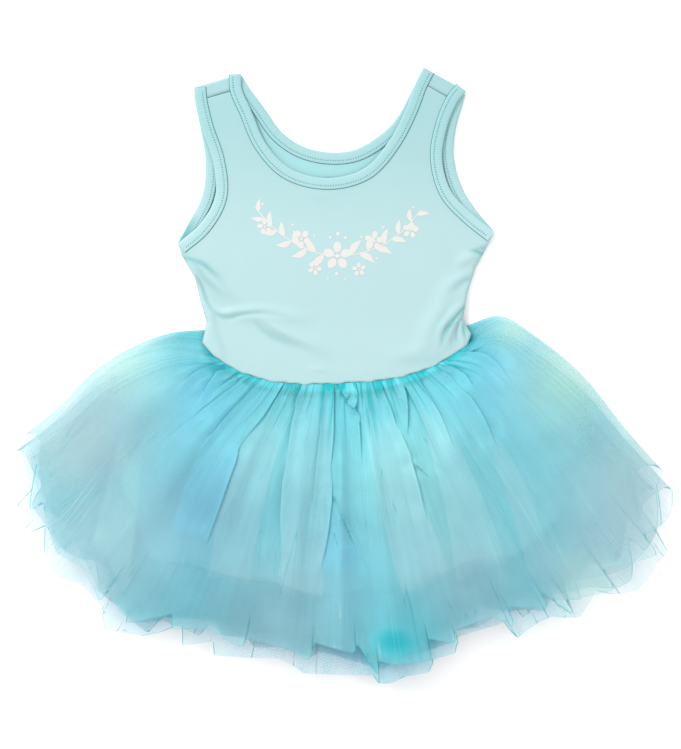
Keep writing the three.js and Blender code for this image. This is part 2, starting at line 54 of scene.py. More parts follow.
# The bodice, in millimetres
JERSEY = 1.2
SHOULDER_Z = 2.9  # underside of the front at the shoulders
WAIST_LIFT = 3.7  # how much higher it lies at the waist seam
WAIST_LIFT_REACH = 60
PANEL_INSET = 1.2  # a panel's edge, within its binding's edge
SIDE_ROLL = (4.5, 1.7)  # how wide and how deep the front turns down at its sides
FRONT_TRIM = (11.8, 12.0)  # how far from the shoulder fold a panel's neck and armhole edges start
BACK_TRIM = (12.2, 12.2)
SEAM_RIPPLES = ((0.45, 4.6, 0), (0.35, 2.3, 1))  # height, length and phase
BACK_MIDDLE_Z = 0.6
BACK_CELL = 2.2  # the back's triangles, as a multiple of the front's
STRAP_RADIUS = 1.45  # of the fold over the shoulder
STRAP_MIDDLE_Z = 2.05
STRAP_TURNS_Z = 1.5  # above it the jersey's right side shows
STRAP_RUN = 12.2  # from the fold to the seam on the front
STRAP_UNDER = (12.0, 6.0, 3.0)  # its sections' distances from the fold, underneath and on the front
STRAP_OVER = (3.0, 6.0, 9.0, 12.1)
STRAP_POINTS = 13
STRAP_STEP = 1.0
BAND_STEP = 0.8
BACK_BAND_START = 1.6  # from a shoulder fold to a binding on the back
BAND_END = {True: 2.6, False: 1.2}  # length of a rounded end, on the front and on the back
STITCH_STEP = 1.5
STITCH_START = 3  # from the ends of an edge
STITCH_DEPTH = 0.70  # from the edge, as a share of the binding's width
STITCH_Z = 2.2
TAPE_Z = 1.1
STITCH_SLANT = 60  # degrees

# The skirt, in millimetres. Shares go from the waist seam, 0, to the hem, 1, or from the middle, 0, to a side
# fold, 1.
LINING_FRONT_Z = 7.2
SEAM_FRONT_Z = 7.2
BACK_Z = 0.5
BACK_PITCH = 1.5
OUTER_LAYER = 3
WAIST_PITCH = 1.6  # from layer to layer: at the seam, where the skirt is fullest and at the hem
PUFF_PITCH = 8.4
HEM_PITCH = 5.2
FULL_AT = 0.42
SEAM_REACH = 0.05
SIDE_RISE = 2
SIDE_REACH = 0.3
SIDE_SINK = 0.35
FOLD_FROM = 0.93  # where the cloth starts to turn round the side fold
FOLD_STEPS = 8
ROW_SPACING = 1.45  # power that sets the rows closer near the seam
FOLD_SHARE = 0.55  # of the broad folds' height that the thin cloth keeps
BACK_LAP_SHARE = 0.18
BACK_SHORTER = 0.05
BACK_CLOSER = 1.3  # how much more light the net stops at the back
LOWEST_Z = 0.2
SKIRT_LENGTH = 250  # waist to hem at the middle

# Finished edges of the bodice, from shoulder fold to shoulder fold or underarm (x, y)
FRONT_NECK = (
    (-92.7, 269.6), (-92.2, 257.2), (-84, 238), (-70, 207), (-48, 184.6), (-14, 176.4),
    (18, 184.8), (40.3, 209.2), (55.5, 238), (64.5, 261.5), (71.6, 275.4),
)
BACK_NECK = (
    (-92.7, 269.6), (-86.5, 259), (-73, 240.7), (-56, 217.5), (-36.5, 204.6), (-13, 199.3),
    (9, 201.5), (28, 211.6), (46, 228), (64, 260.5), (71.6, 275.4),
)
FRONT_ARM_LEFT = (
    (-135, 257.4), (-133.8, 245), (-128.2, 221), (-118, 190), (-116, 160), (-129, 135.5), (-149.9, 117),
)
BACK_ARM_LEFT = (
    (-135, 257.4), (-134.2, 245), (-129.2, 221), (-124.6, 190), (-127.6, 161), (-138, 139), (-149.9, 117),
)
FRONT_ARM_RIGHT = (
    (109.8, 253.8), (102.4, 245), (93.4, 224), (88.4, 195), (95.9, 165.6), (113.5, 145.6), (135.5, 127.8),
)
BACK_ARM_RIGHT = (
    (109.8, 253.8), (106.7, 242), (101, 222), (98.8, 196), (105.6, 169), (118.5, 148), (135.5, 127.8),
)
SIDE_LEFT = ((-145.8, 106.2), (-134, 86.4), (-129.6, 68), (-123, 46), (-127.5, 28))
SIDE_RIGHT = ((129.5, 116), (118, 95), (111.2, 73), (106.5, 49), (114.5, 36))
WAIST_FRONT = {"left": (-119, 17), "right": (113, 28), "dip": 31}
WAIST_BACK = {"left": (-120, 44), "right": (106, 44), "dip": 20}
WAIST_DIP_POWER = 3

# Creases of the bodice front (x0, y0, x1, y1, width, height), ridges up and troughs down
CREASES = (
    (-143, 101, -101, 67, 6, 2.6),
    (-134, 80, -104, 50, 5, -1.2),
    (-112, 54, -38, 50, 6, 2.2),
    (-67, 47, -17, 20, 6, 2.6),
    (106, 62, 90, 26, 6, 3.2),
    (98, 84, 72, 26, 8, 2.0),
    (119, 108, 103, 99, 5, 1.8),
)
# Finer creases, each a line of x, y, width and height, ridges first and then troughs
RIDGES = (
    ((-138, 104, 3, 0), (-128, 95, 3.5, 1.6), (-116, 84, 3.5, 1.6), (-98, 68, 4, 0)),
    ((-130, 76, 2, 0), (-124, 62, 2, 1.2), (-112, 55, 2.4, 1.4), (-96, 57, 2.6, 1.5), (-72, 59, 3, 1),
     (-42, 55, 4, 0)),
    ((-74, 50, 2.5, 0), (-62, 41, 3, 1.6), (-47, 33, 3, 1.4), (-28, 25, 4, 0)),
    ((104, 62, 2, 0), (96, 53, 2.6, 1.8), (87, 40, 3, 2.0), (82, 26, 3, 0)),
    ((106, 52, 1.6, 0), (97, 42, 2, 1.4), (94, 32, 2, 1.4), (95, 22, 2, 0)),
    ((114, 92, 3, 0), (104, 86, 4, 1.3), (88, 76, 5, 0)),
    ((-40, 168, 6, 0), (-22, 161, 7, 0.8), (-4, 155, 7, 0)),
    ((-34, 4, 2, 0), (-22, 4, 2.4, 0.8), (-10, 0, 2.4, 0)),
    ((40, 16, 6, 0), (64, 20, 6, 1.0), (84, 30, 6, 0)),
)
TROUGHS = (
    ((-145, 107, 3, 0.6), (-134, 96, 3.4, 1.6), (-124, 82, 3, 1.4), (-106, 67, 3, 0)),
    ((-132, 88, 1.6, 0.6), (-128, 79, 1.6, 1.2), (-124, 67, 1.8, 1.2), (-118, 57, 2, 1.2),
     (-106, 50, 2.2, 1.4), (-91, 53, 2.2, 1.2), (-70, 54, 2.4, 0.8), (-45, 50, 3, 0)),
    ((-83, 49, 2, 0), (-70, 37, 2.6, 1.2), (-55, 28.6, 2.8, 1.2), (-37, 21, 3, 0)),
    ((109, 61, 1.6, 0.8), (101, 51, 2, 2), (92, 39, 2.2, 2.2), (88, 27, 2, 1), (86, 20, 2, 0)),
    ((108, 55, 1.4, 0.6), (102, 43, 1.6, 1.6), (101, 33, 1.6, 1.2), (104, 23, 1.6, 0)),
    ((121, 109, 2, 1.4), (111, 111, 2, 0)),
    ((111, 84, 2.6, 0.8), (93, 71, 3.5, 0)),
)
# Painted shade on the jersey, where its creases and folds lie in shade, each a line of x, y, width and
# strength
SHADES = (
    ((-146, 108, 3, 0.4), (-134, 99, 4.4, 0.5), (-124, 84, 3.2, 0.5), (-106, 67, 3, 0)),
    ((-133, 88, 1.4, 0.9), (-128, 79, 1.5, 0.9), (-124, 67, 1.6, 0.7), (-118, 57, 1.8, 0.6),
     (-106, 50, 2, 0.6), (-91, 54, 1.8, 0.6), (-73, 55, 1.8, 0.5), (-45, 51, 2, 0)),
    ((-83, 49, 2, 0), (-70, 37, 2.4, 0.55), (-55, 28.6, 2.6, 0.5), (-37, 21, 3, 0)),
    ((-118, 56, 2, 0.4), (-115, 39, 2.4, 0.3), (-108, 18, 2.6, 0.25), (-108, 8, 2.6, 0)),
    ((109, 61, 1.4, 1), (101, 51, 1.8, 1), (92, 39, 2.2, 1), (88, 27, 1.8, 0.7), (87, 21, 1.8, 0)),
    ((108, 55, 1.2, 0.9), (102, 43, 1.4, 0.8), (101, 33, 1.4, 0.6), (104, 23, 1.4, 0)),
    ((108, 42, 1.3, 0.9), (109, 33, 1.3, 0.8), (109, 24, 1.3, 0.3)),
    ((122, 109, 2, 0.9), (111, 111, 2, 0)),
    ((111, 85, 2.6, 0.5), (93, 71, 3.5, 0)),
    ((105, 66, 4, 0.2), (88, 48, 6, 0.3), (66, 23, 6, 0)),
    ((40, 9, 3, 0), (60, 11, 4, 0.25), (83, 14, 4, 0.3), (91, 27, 3, 0.2)),
    ((-40, 165, 5, 0), (-24, 158, 6, 0.2), (-8, 151, 6, 0)),
    ((-100, 2, 2, 0.3), (-50, -9, 2, 0), (0, -13, 2, 0.3), (50, -9, 2, 0), (90, 4, 2, 0.4)),
)
# Painted shade in the deep folds at the sides, in the same way
DEEP_SHADES = (
    ((109, 62, 0.9, 0.6), (104, 55.5, 1.2, 0.95), (98, 46.5, 1.6, 1), (94, 40, 2.0, 0.7), (91, 33, 2.6, 0.3),
     (90, 25, 3, 0)),
    ((106.5, 45, 0.9, 0.8), (107.5, 38, 1.2, 0.9), (108, 32, 1.0, 0.3)),
    ((-133, 88, 1, 0.6), (-128, 79, 1.1, 0.7), (-124, 67, 1.2, 0.45), (-118, 57, 1.4, 0.1)),
    ((-143, 104.5, 1.6, 0.55), (-134, 101.5, 2.6, 0.62), (-126, 98, 2.6, 0.62), (-118, 91.5, 2.4, 0.45),
     (-108, 84, 3, 0)),
    ((124, 108, 2.2, 0.8), (118, 110.5, 1.8, 0.6), (112, 111.2, 1.2, 0)),
    ((125, 113.5, 2.4, 0.5), (118, 111.8, 1.6, 0.3)),
)
# Painted shade inside the back at the underarms, in the same way
BACK_SHADES = (
    ((-150, 118, 9, 1), (-141, 132, 6, 0.7), (-134, 145, 4, 0)),
    ((136, 128, 9, 0.35), (124, 142, 6, 0.25), (114, 155, 4, 0)),
)
# Painted shade: the share of the soft lines that is kept, the darkening towards the shoulders and the least
# that a binding takes
SHADE_SHARE = 0.55  # of the soft shades' strength that is kept
TOP_SHADE = (0.5, 110, 240)  # towards the shoulders: its strength, and the y where it starts and is full
BAND_SHADE = 0.06
CREASE_RUN_OUT = 0.25
CREASE_FADE = 0.3
# The stitched tape inside the neck
NECK_TAPE = (
    (-89, 239), (-73, 208.7), (-55, 188.4), (-35, 177.7), (-13, 176.9), (10, 177.5), (30, 187), (44, 203),
)

# The skirt's longest hem: s across the skirt from -1 to 1, and x, y
HEM = (
    (-1, -297, -63), (-0.86, -291, -130), (-0.74, -258, -173), (-0.65, -234, -199), (-0.56, -214, -226),
    (-0.38, -146, -244), (-0.2, -70, -259), (0, 2, -272), (0.14, 46, -276), (0.3, 98, -254),
    (0.46, 152, -230), (0.62, 210, -219), (0.76, 266, -192), (0.89, 294, -153), (1, 298, -100),
)
SIDE_FOLD_LEFT = ((-120, 44), (-155, 44), (-190, 31), (-224, 8), (-258, -28), (-297, -63))
SIDE_FOLD_RIGHT = ((106, 44), (138, 57), (172, 37), (213, 2), (250, -45), (298, -100))

# Broad folds of the outer tier (waist, hem, width, height)
FOLDS = (
    (-0.9, -0.8, 0.06, 5), (-0.66, -0.6, 0.055, 7), (-0.43, -0.4, 0.045, 9), (-0.21, -0.15, 0.04, 8),
    (0, -0.02, 0.035, 10), (0.16, 0.16, 0.04, 7), (0.33, 0.38, 0.045, 10), (0.55, 0.5, 0.04, 8),
    (0.74, 0.68, 0.05, 6), (0.9, 0.84, 0.055, 8),
)
FOLD_WIDTH_AT_WAIST = 0.6
FOLD_WIDTH_AT_HEM = 1.1

# Where the tulle turns back under itself, as lines down the skirt: from s0, r0 to s1, r1, with the fold's
# half width in millimetres at each end, how far it laps, its height and the side whose flap is on top.
LAPS = (
    (-0.452, 0.0, -0.474, 0.30, 5, 8, 2.6, 2.6, 1),
    (-0.474, 0.28, -0.405, 0.74, 8, 9, 2.2, 2.4, 1),
    (-0.292, 0.0, -0.262, 0.34, 4, 7, 2.4, 2.2, -1),
    (-0.262, 0.30, -0.196, 0.70, 7, 8, 2.0, 2.0, -1),
    (-0.066, 0.0, -0.050, 0.36, 5, 8, 2.6, 2.6, 1),
    (-0.050, 0.33, -0.084, 0.72, 8, 9, 2.2, 2.2, 1),
    (-0.050, 0.35, 0.076, 0.62, 4, 8, 2.3, 1.8, -1),
    (-0.014, 0.0, 0.160, 0.17, 4, 6, 2.6, 2.2, -1),
    (0.286, 0.0, 0.338, 0.24, 4, 7, 2.8, 2.6, 1),
    (0.338, 0.22, 0.335, 0.62, 7, 8, 2.2, 2.0, 1),
    (0.460, 0.03, 0.338, 0.29, 4, 7, 2.6, 2.4, 1),
    (0.338, 0.30, 0.410, 0.44, 5, 6, 2.0, 1.6, -1),
    (0.712, 0.0, 0.700, 0.20, 4, 7, 2.6, 2.4, 1),
    (0.700, 0.18, 0.662, 0.50, 7, 9, 2.3, 2.2, 1),
    (0.780, 0.02, 0.728, 0.27, 4, 7, 2.4, 2.2, 1),
    (-0.907, 0.0, -0.838, 0.30, 4, 8, 2.4, 2.2, -1),
    (-0.865, 0.0, -0.736, 0.27, 4, 7, 2.4, 2.2, -1),
    (-0.60, 0.0, -0.62, 0.42, 4, 9, 2.3, 2.2, -1),
    (0.10, 0.0, 0.11, 0.33, 4, 7, 2.3, 2.2, 1),
    (0.56, 0.0, 0.53, 0.44, 4, 8, 2.3, 2.2, 1),
    (0.90, 0.0, 0.84, 0.40, 4, 8, 2.2, 2.0, 1),
)

# Short folds at the hem of the middle tier: from s0, r0 to s1, r1, all as narrow as a pinched edge
HEM_LAPS = (
    (0.857, 0.92, 0.845, 1.1), (0.718, 0.87, 0.715, 1.1), (0.740, 0.92, 0.735, 0.99),
    (0.552, 0.84, 0.555, 1.1), (0.640, 0.78, 0.603, 1.1), (0.645, 0.91, 0.647, 0.98),
    (0.453, 0.93, 0.466, 1.1), (0.323, 0.88, 0.320, 1.1), (0.242, 0.90, 0.253, 1.1),
    (0.105, 0.76, 0.088, 1.1), (0.022, 0.80, 0.033, 0.93), (0.045, 0.80, 0.080, 0.91),
    (-0.080, 0.84, -0.078, 1.1), (-0.137, 0.92, -0.130, 1.1), (-0.590, 0.90, -0.562, 1.1),
    (0.988, 0.80, 0.960, 1.1), (0.903, 0.91, 0.883, 1.1), (-0.405, 0.90, -0.405, 1.1),
    (-0.325, 0.92, -0.325, 1.1), (-0.232, 0.91, -0.232, 1.1), (-0.838, 0.90, -0.838, 1.1),
    (-0.525, 0.93, -0.525, 1.1), (0.522, 0.93, 0.522, 1.1),
)
HEM_LAP_SHAPE = (1.6, 2.6, 1.9, 0.7)  # half width at each end, how far it laps and its height
HEM_STEP = 1.1  # how steep a step in a hem is folded
# Ranges that a small lap is drawn from: its reach (pleats only), half widths at both ends, lap and height
PLEAT = ((0.3, 0.6), (2.5, 3.5), (4, 7), (1.8, 2.4), (0.8, 1.4))
GATHER = ((1.6, 2.6), (2.5, 4.5), (1.6, 2.5), (0.5, 1.0))
LAP_WAVE_PEAK = 0.286  # the most that t (1 - t^2)^2 comes to

# Hems: s and the share of the longest hem's reach. The cloth is folded where the reach drops.
HEM_LONG = (
    (-1.0, 1.0), (-0.95, 0.965), (-0.905, 0.935), (-0.9, 1.0), (-0.838, 1.0), (-0.826, 0.942),
    (-0.79, 1.0), (-0.765, 1.025), (-0.728, 1.02), (-0.688, 0.985), (-0.60, 0.965), (-0.562, 1.015),
    (-0.525, 0.998), (-0.475, 0.993), (-0.44, 0.968), (-0.405, 0.925), (-0.384, 0.998), (-0.325, 0.963),
    (-0.312, 1.01), (-0.232, 0.993), (-0.175, 0.978), (-0.132, 0.995), (-0.112, 1.012), (0.078, 0.98),
    (0.09, 1.005), (0.127, 1.005), (0.175, 0.992), (0.236, 1.012), (0.255, 0.98), (0.312, 0.992),
    (0.332, 0.945), (0.438, 0.968), (0.452, 0.965), (0.466, 1.035), (0.522, 0.998), (0.57, 0.978),
    (0.602, 0.99), (0.635, 1.0), (0.655, 0.98), (0.69, 0.947), (0.715, 0.975), (0.76, 1.0),
    (0.80, 0.998), (0.84, 0.99), (0.883, 0.998), (0.897, 0.94), (0.938, 0.973), (0.965, 0.988), (1.0, 0.993),
)
HEM_OUTER = (
    (-1.0, 0.95), (-0.93, 0.90), (-0.86, 0.955), (-0.848, 0.905), (-0.76, 0.97), (-0.70, 0.94),
    (-0.61, 0.965), (-0.598, 0.915), (-0.50, 0.955), (-0.43, 0.90), (-0.415, 0.95), (-0.34, 0.925),
    (-0.26, 0.965), (-0.248, 0.93), (-0.15, 0.94), (-0.10, 0.965), (-0.085, 0.90), (0.02, 0.915),
    (0.035, 0.885), (0.088, 0.975), (0.10, 0.93), (0.18, 0.955), (0.24, 0.975), (0.252, 0.91),
    (0.31, 0.96), (0.325, 0.92), (0.42, 0.935), (0.45, 0.965), (0.462, 0.99), (0.475, 0.925),
    (0.56, 0.95), (0.572, 0.90), (0.61, 0.985), (0.622, 0.94), (0.71, 0.965), (0.722, 0.905),
    (0.80, 0.95), (0.84, 0.975), (0.852, 0.92), (0.90, 0.955), (0.96, 0.93), (1.0, 0.955),
)
HEM_INNER = (
    (-1.0, 0.93), (-0.90, 0.90), (-0.80, 0.96), (-0.788, 0.90), (-0.66, 0.95), (-0.56, 0.91),
    (-0.545, 0.965), (-0.46, 0.93), (-0.37, 0.955), (-0.358, 0.91), (-0.22, 0.94), (-0.14, 0.91),
    (-0.128, 0.95), (-0.02, 0.92), (0.06, 0.95), (0.072, 0.89), (0.17, 0.935), (0.28, 0.95),
    (0.292, 0.90), (0.40, 0.95), (0.51, 0.93), (0.522, 0.97), (0.60, 0.92), (0.68, 0.955),
    (0.692, 0.90), (0.80, 0.94), (0.92, 0.95), (1.0, 0.93),
)
HEM_LINING = (
    (-1.0, 0.66), (-0.86, 0.70), (-0.73, 0.748), (-0.60, 0.724), (-0.43, 0.732), (-0.30, 0.722),
    (-0.13, 0.738), (-0.03, 0.728), (0.10, 0.69), (0.18, 0.705), (0.32, 0.72), (0.53, 0.735),
    (0.72, 0.77), (0.82, 0.752), (1.0, 0.69),
)

# The tiers, as in the part. cut is the net's length at the seam and at the hem, and its depth, in metres.
# start is where it begins below the seam, and spread and hem_spread are its shares of the skirt's width.
# front and back count the columns. height is the share of the laps' height that it keeps. unlined is how far
# it takes on the deep colour below the lining.
TIERS = {
    "outer": {
        "cut": (1.0, 1.6, 0.28), "hem": HEM_OUTER, "layer": 3, "seed": 3,
        "start": 0.0, "spread": 1.0, "hem_spread": 1.0, "folds": 12, "phase": 0.4, "wave": 2.5,
        "front": 800, "back": 220, "rows": 66, "gathers": 38, "pleats": 3, "height": 0.7, "unlined": 0.22,
    },
    "middle": {
        "cut": (0.9, 1.5, 0.27), "hem": HEM_LONG, "layer": 2, "seed": 11,
        "start": 0.05, "spread": 0.962, "hem_spread": 0.985, "folds": 10, "phase": 2.1, "wave": 2.5,
        "front": 760, "back": 220, "rows": 66, "gathers": 16, "pleats": 3, "height": 0.6, "unlined": 0.5,
    },
    "inner": {
        "cut": (0.8, 1.4, 0.25), "hem": HEM_INNER, "layer": 1, "seed": 23,
        "start": 0.05, "spread": 0.925, "hem_spread": 0.95, "folds": 9, "phase": 4.3, "wave": 2.5,
        "front": 420, "back": 220, "rows": 84, "gathers": 12, "pleats": 4, "height": 0.6, "unlined": 0.9,
    },
    "lining": {
        "hem": HEM_LINING, "layer": 0, "seed": 31,
        "start": 0.05, "spread": 0.885, "hem_spread": 0.75, "folds": 7, "phase": 1.2, "wave": 0,
        "front": 180, "back": 90, "rows": 34, "gathers": 22, "pleats": 9, "height": 0.45,
    },
}

# Patches of colour in the tulle: x, y, reach, the colour's name and its strength
PATCHES = (
    (-160, 5, 45, "sky", 0.7), (-133, -120, 62, "sky", 0.75), (160, 12, 70, "sky", 0.85),
    (-262, -55, 55, "mint", 0.55), (-205, 15, 50, "mint", 0.95), (205, 0, 55, "mint", 0.95),
    (262, -70, 50, "mint", 0.5), (270, -130, 80, "lavender", 0.75), (225, -175, 60, "lavender", 0.5),
    (-215, -150, 80, "lavender", 0.55), (-232, -55, 60, "lavender", 0.75), (-60, -225, 70, "lavender", 0.5),
    (110, -195, 60, "lavender", 0.45), (60, -90, 80, "mint", 0.35), (-60, -60, 60, "mint", 0.25),
    (10, -170, 70, "sky", 0.35), (-142, 42, 26, "teal", 0.55), (-125, -114, 34, "deep", 0.45),
    (118, 40, 18, "teal", 0.4), (154, 42, 28, "mint", 0.9), (-134, -20, 40, "sky", 0.9),
    (217, -190, 30, "mint", 0.8),
)
# Where the outer net lies folded double, each between two lines down the skirt: s of its left and right line
# and r at its top, the same at its bottom, its colour's name and strength and how much closer the net is
PANELS = (
    (-0.483, -0.328, 0.10, -0.387, -0.277, 0.735, "lavender", 0.29, 1.2),
    (-0.290, -0.065, 0.04, -0.193, -0.073, 0.730, "lavender", 0.29, 1.2),
    (-0.045, -0.040, 0.35, -0.068, 0.085, 0.635, "sky", 0.4, 1.2),
    (0.140, 0.330, 0.10, 0.195, 0.353, 0.725, "lavender", 0.29, 1.2),
    (-0.690, -0.532, 0.08, -0.542, -0.415, 0.62, "sky", 0.38, 1.2),
    (0.472, 0.575, 0.12, 0.367, 0.520, 0.77, "lavender", 0.24, 1.2),
    (0.657, 0.700, 0.36, 0.560, 0.635, 0.84, "lavender", 0.25, 1.2),
    (-0.845, -0.767, 0.50, -0.712, -0.557, 0.86, "mint", 0.3, 1.2),
)
PANEL_EDGE = 0.004
# The bunch of tulle between the layers near the hem (x, y, width, depth) and its paler side (x, y, radius)
BUNCH = (46, -240, 23, 16)
BUNCH_HALO = (58, -232, 34)

# How much of the light the net stops, 0 to 1, where it turns over, is sewn in, is drawn up and is bunched
TURNED_CLOSE = 0.92
SEWN_CLOSE = 0.93
DRAWN_CLOSE = 0.9
BUNCHED_CLOSE = 0.95
TIMES_BLUR = 24  # columns either way that the gathers are evened over
TIMES_KEPT = 0.1  # share of the gathers that isn't evened
TIMES_RANGE = (0.8, 7)
RAGGED = 0.3  # how much more open the net is in places at its hem

# The stage
FLOOR_SIDE = 3.0  # metres
FLOOR_Z = -0.2
FLOOR_COLOUR = (0.98, 0.98, 0.98, 1)
STUDIO_LIGHT = 1.03
LAMPS = (("Key light", (-1.3, 1.4, 1.3), 0.5, 30), ("Fill light", (1.4, -0.5, 1.8), 1.6, 4))
CAMERA_PLACE = (-0.00315, -0.0008, 4.0)
CAMERA_SEES = 20  # metres
SENSOR = 24
SEEN_DEPTH = 0.6741  # what the picture's height spans at the height of the cloth
CLOTH_Z = 0.006
NETS_SEEN_THROUGH = 48  # see-through surfaces that a ray passes

# The print, a garland: its line (x, y), its leaves, its flowers (share of the line, how far above it, radius
# and turn) and its dots (share, how far above, radius)
PRINT_ARC = ((-82, 152), (-62, 130), (-36, 113), (-5, 106), (26, 112), (51, 127), (71, 149))
PRINT_STEM = 0.55
LEAF_EVERY = 8
LEAF_ANGLE = 0.78
LEAF_LENGTHS = (18, 11)  # in the middle and at the ends
LEAF_WIDTH = 0.21  # as a share of its length
LEAF_START = 0.3  # from the stem's middle
LEAF_GAP = 0.12  # no leaf is nearer the garland's middle
PRINT_FLOWERS = (
    (0.5, 0, 13, 0.31), (0.30, 6.5, 9, 0.9), (0.70, 6.5, 9, 0.2), (0.12, -4.5, 7.4, 0.5),
    (0.88, -4.5, 7.4, 0.1), (0.41, -14, 6.4, 1.1), (0.59, -14, 6.4, 0.4),
)
PRINT_DOTS = (
    (0.45, 16, 1.5), (0.5, 20, 1.9), (0.55, 16, 1.5), (0.36, 14, 1.2), (0.64, 14, 1.2), (0.22, 13, 1.3),
    (0.78, 13, 1.3), (0.5, -16, 1.7), (0.47, -21, 1.1), (0.53, -21, 1.1), (0.03, 7, 1.3), (0.97, 7, 1.3),
    (0.32, -9, 1.2), (0.68, -9, 1.2),
)


def srgb(red, green, blue):
    """A colour of the screen, 0 to 255, as Blender's linear colour."""
    return tuple(
        (v / 12.92 if v <= 0.04045 else ((v + 0.055) / 1.055) ** 2.4)
        for v in (red / 255, green / 255, blue / 255)
    )


# Small functions on numbers, lines and grids
def mix(a, b, t):
    return a + (b - a) * t


def smooth(start, end, value):
    t = np.clip((value - start) / (end - start), 0, 1)
    return t * t * (3 - 2 * t)


def on_spline(points, where):
    """Points on the centripetal Catmull-Rom line through the given ones. where counts in points."""
    p = np.asarray(points, float)
    p = np.vstack([2 * p[0] - p[1], p, 2 * p[-1] - p[-2]])
    where = np.asarray(where, float)
    i = np.clip(np.floor(where).astype(int), 0, len(p) - 4)
    share = (where - i)[..., None]
    a, b, c, d = p[i], p[i + 1], p[i + 2], p[i + 3]

    def knot(u, v):
        return np.sqrt(np.linalg.norm(v - u, axis=-1, keepdims=True)) + 1e-9

    t1 = knot(a, b)
    t2 = t1 + knot(b, c)
    t3 = t2 + knot(c, d)
    t = t1 + share * (t2 - t1)
    ab = ((t1 - t) * a + t * b) / t1
    bc = ((t2 - t) * b + (t - t1) * c) / (t2 - t1)
    cd = ((t3 - t) * c + (t - t2) * d) / (t3 - t2)
    abc = ((t2 - t) * ab + t * bc) / t2
    bcd = ((t3 - t) * bc + (t - t1) * cd) / (t3 - t1)
    return ((t2 - t) * abc + (t - t1) * bcd) / (t2 - t1)


def distances(line):
    """How far along a line each of its points is."""
    return np.concatenate([[0], np.cumsum(np.linalg.norm(np.diff(line, axis=0), axis=1))])


def unit(vectors, least=0.0):
    return vectors / (np.linalg.norm(vectors, axis=1, keepdims=True) + least)


def resample(line, step):
    """The same line with points about one step apart."""
    line = np.asarray(line, float)
    run = distances(line)
    places = np.linspace(0, run[-1], max(2, round(run[-1] / step) + 1))
    return np.stack([np.interp(places, run, line[:, k]) for k in range(line.shape[1])], axis=-1)


def edge_line(rows, step):
    return resample(on_spline(rows, np.linspace(0, len(rows) - 1, 24 * len(rows))), step)


def inward(line, turn):
    """Unit vectors to the side that turn says, 1 for the left of someone walking along the line."""
    run = unit(np.gradient(np.asarray(line, float), axis=0))
    return np.stack([-run[:, 1] * turn, run[:, 0] * turn], axis=-1)


def waist(s, seam):
    """The waist seam's line in plan."""
    t = (np.asarray(s, float) + 1) / 2
    (x0, y0), (x1, y1) = seam["left"], seam["right"]
    dip = seam["dip"] * (1 - np.abs(s) ** WAIST_DIP_POWER)
    return np.stack([mix(x0, x1, t), mix(y0, y1, t) - dip], axis=-1)


def plan(s, r, towards_back):
    """The place on the surface of a point of the skirt."""
    rows = np.array(HEM, float)
    hem = on_spline(rows[:, 1:], np.interp(s, rows[:, 0], np.arange(len(rows))))
    reach = np.clip(r, 0, 1)
    left, right = np.array(SIDE_FOLD_LEFT, float), np.array(SIDE_FOLD_RIGHT, float)
    is_left = (s < 0)[..., None]
    last = len(left) - 1
    on = np.where(is_left, on_spline(left, reach * last), on_spline(right, reach * last))
    ends = [np.where(is_left, left[k], right[k]) for k in (0, -1)]
    top = mix(waist(s, WAIST_FRONT), waist(s, WAIST_BACK), towards_back[..., None])
    bow = (np.abs(s) ** 2)[..., None]
    return mix(top, hem, r[..., None]) + bow * (on - mix(ends[0], ends[1], reach[..., None]))


def row_length(r):
    """Length of the front of the skirt, from side to side, at each r."""
    shares = np.linspace(0, 1.05, 22)
    s = np.linspace(-1, 1, 160)
    lengths = []
    for share in shares:
        line = plan(s, np.full_like(s, share), np.zeros_like(s))
        lengths.append(np.linalg.norm(np.diff(line, axis=0), axis=1).sum())
    return np.interp(r, shares, lengths)


def pitch(s, r):
    """The height from layer to layer of the skirt."""
    rising = mix(WAIST_PITCH, PUFF_PITCH, smooth(SEAM_REACH, FULL_AT, r))
    falling = mix(PUFF_PITCH, HEM_PITCH, smooth(FULL_AT, 1, r))
    full = np.where(r < FULL_AT, rising, falling)
    return WAIST_PITCH + (full - WAIST_PITCH) * (1 - SIDE_SINK * s * s)


def front_height(tier, s, r):
    """The height of a tier's front, with its waves and the outer tier's broad folds."""
    gap = pitch(s, r)
    full = (gap - WAIST_PITCH) / (PUFF_PITCH - WAIST_PITCH)
    flat = mix(SEAM_FRONT_Z, LINING_FRONT_Z + tier["layer"] * gap, smooth(0, SEAM_REACH, r))
    uneven = 0.9 * np.sin(5.1 * s + tier["phase"])
    waves = tier["wave"] * (0.5 + 0.5 * np.cos(math.pi * tier["folds"] * s + uneven + tier["phase"]))
    folds = 0
    if tier["layer"] == OUTER_LAYER:
        for top, hem, width, height in FOLDS:
            width = width * mix(FOLD_WIDTH_AT_WAIST, FOLD_WIDTH_AT_HEM, r)
            folds = folds + FOLD_SHARE * height * np.exp(-(((s - mix(top, hem, r)) / width) ** 2))
    return flat + full * (waves + folds)


def lap_wave(t):
    """One smooth swing either way between -1 and 1, still at both ends."""
    within = np.clip(1 - t * t, 0, None)
    return -t * within * within / LAP_WAVE_PEAK


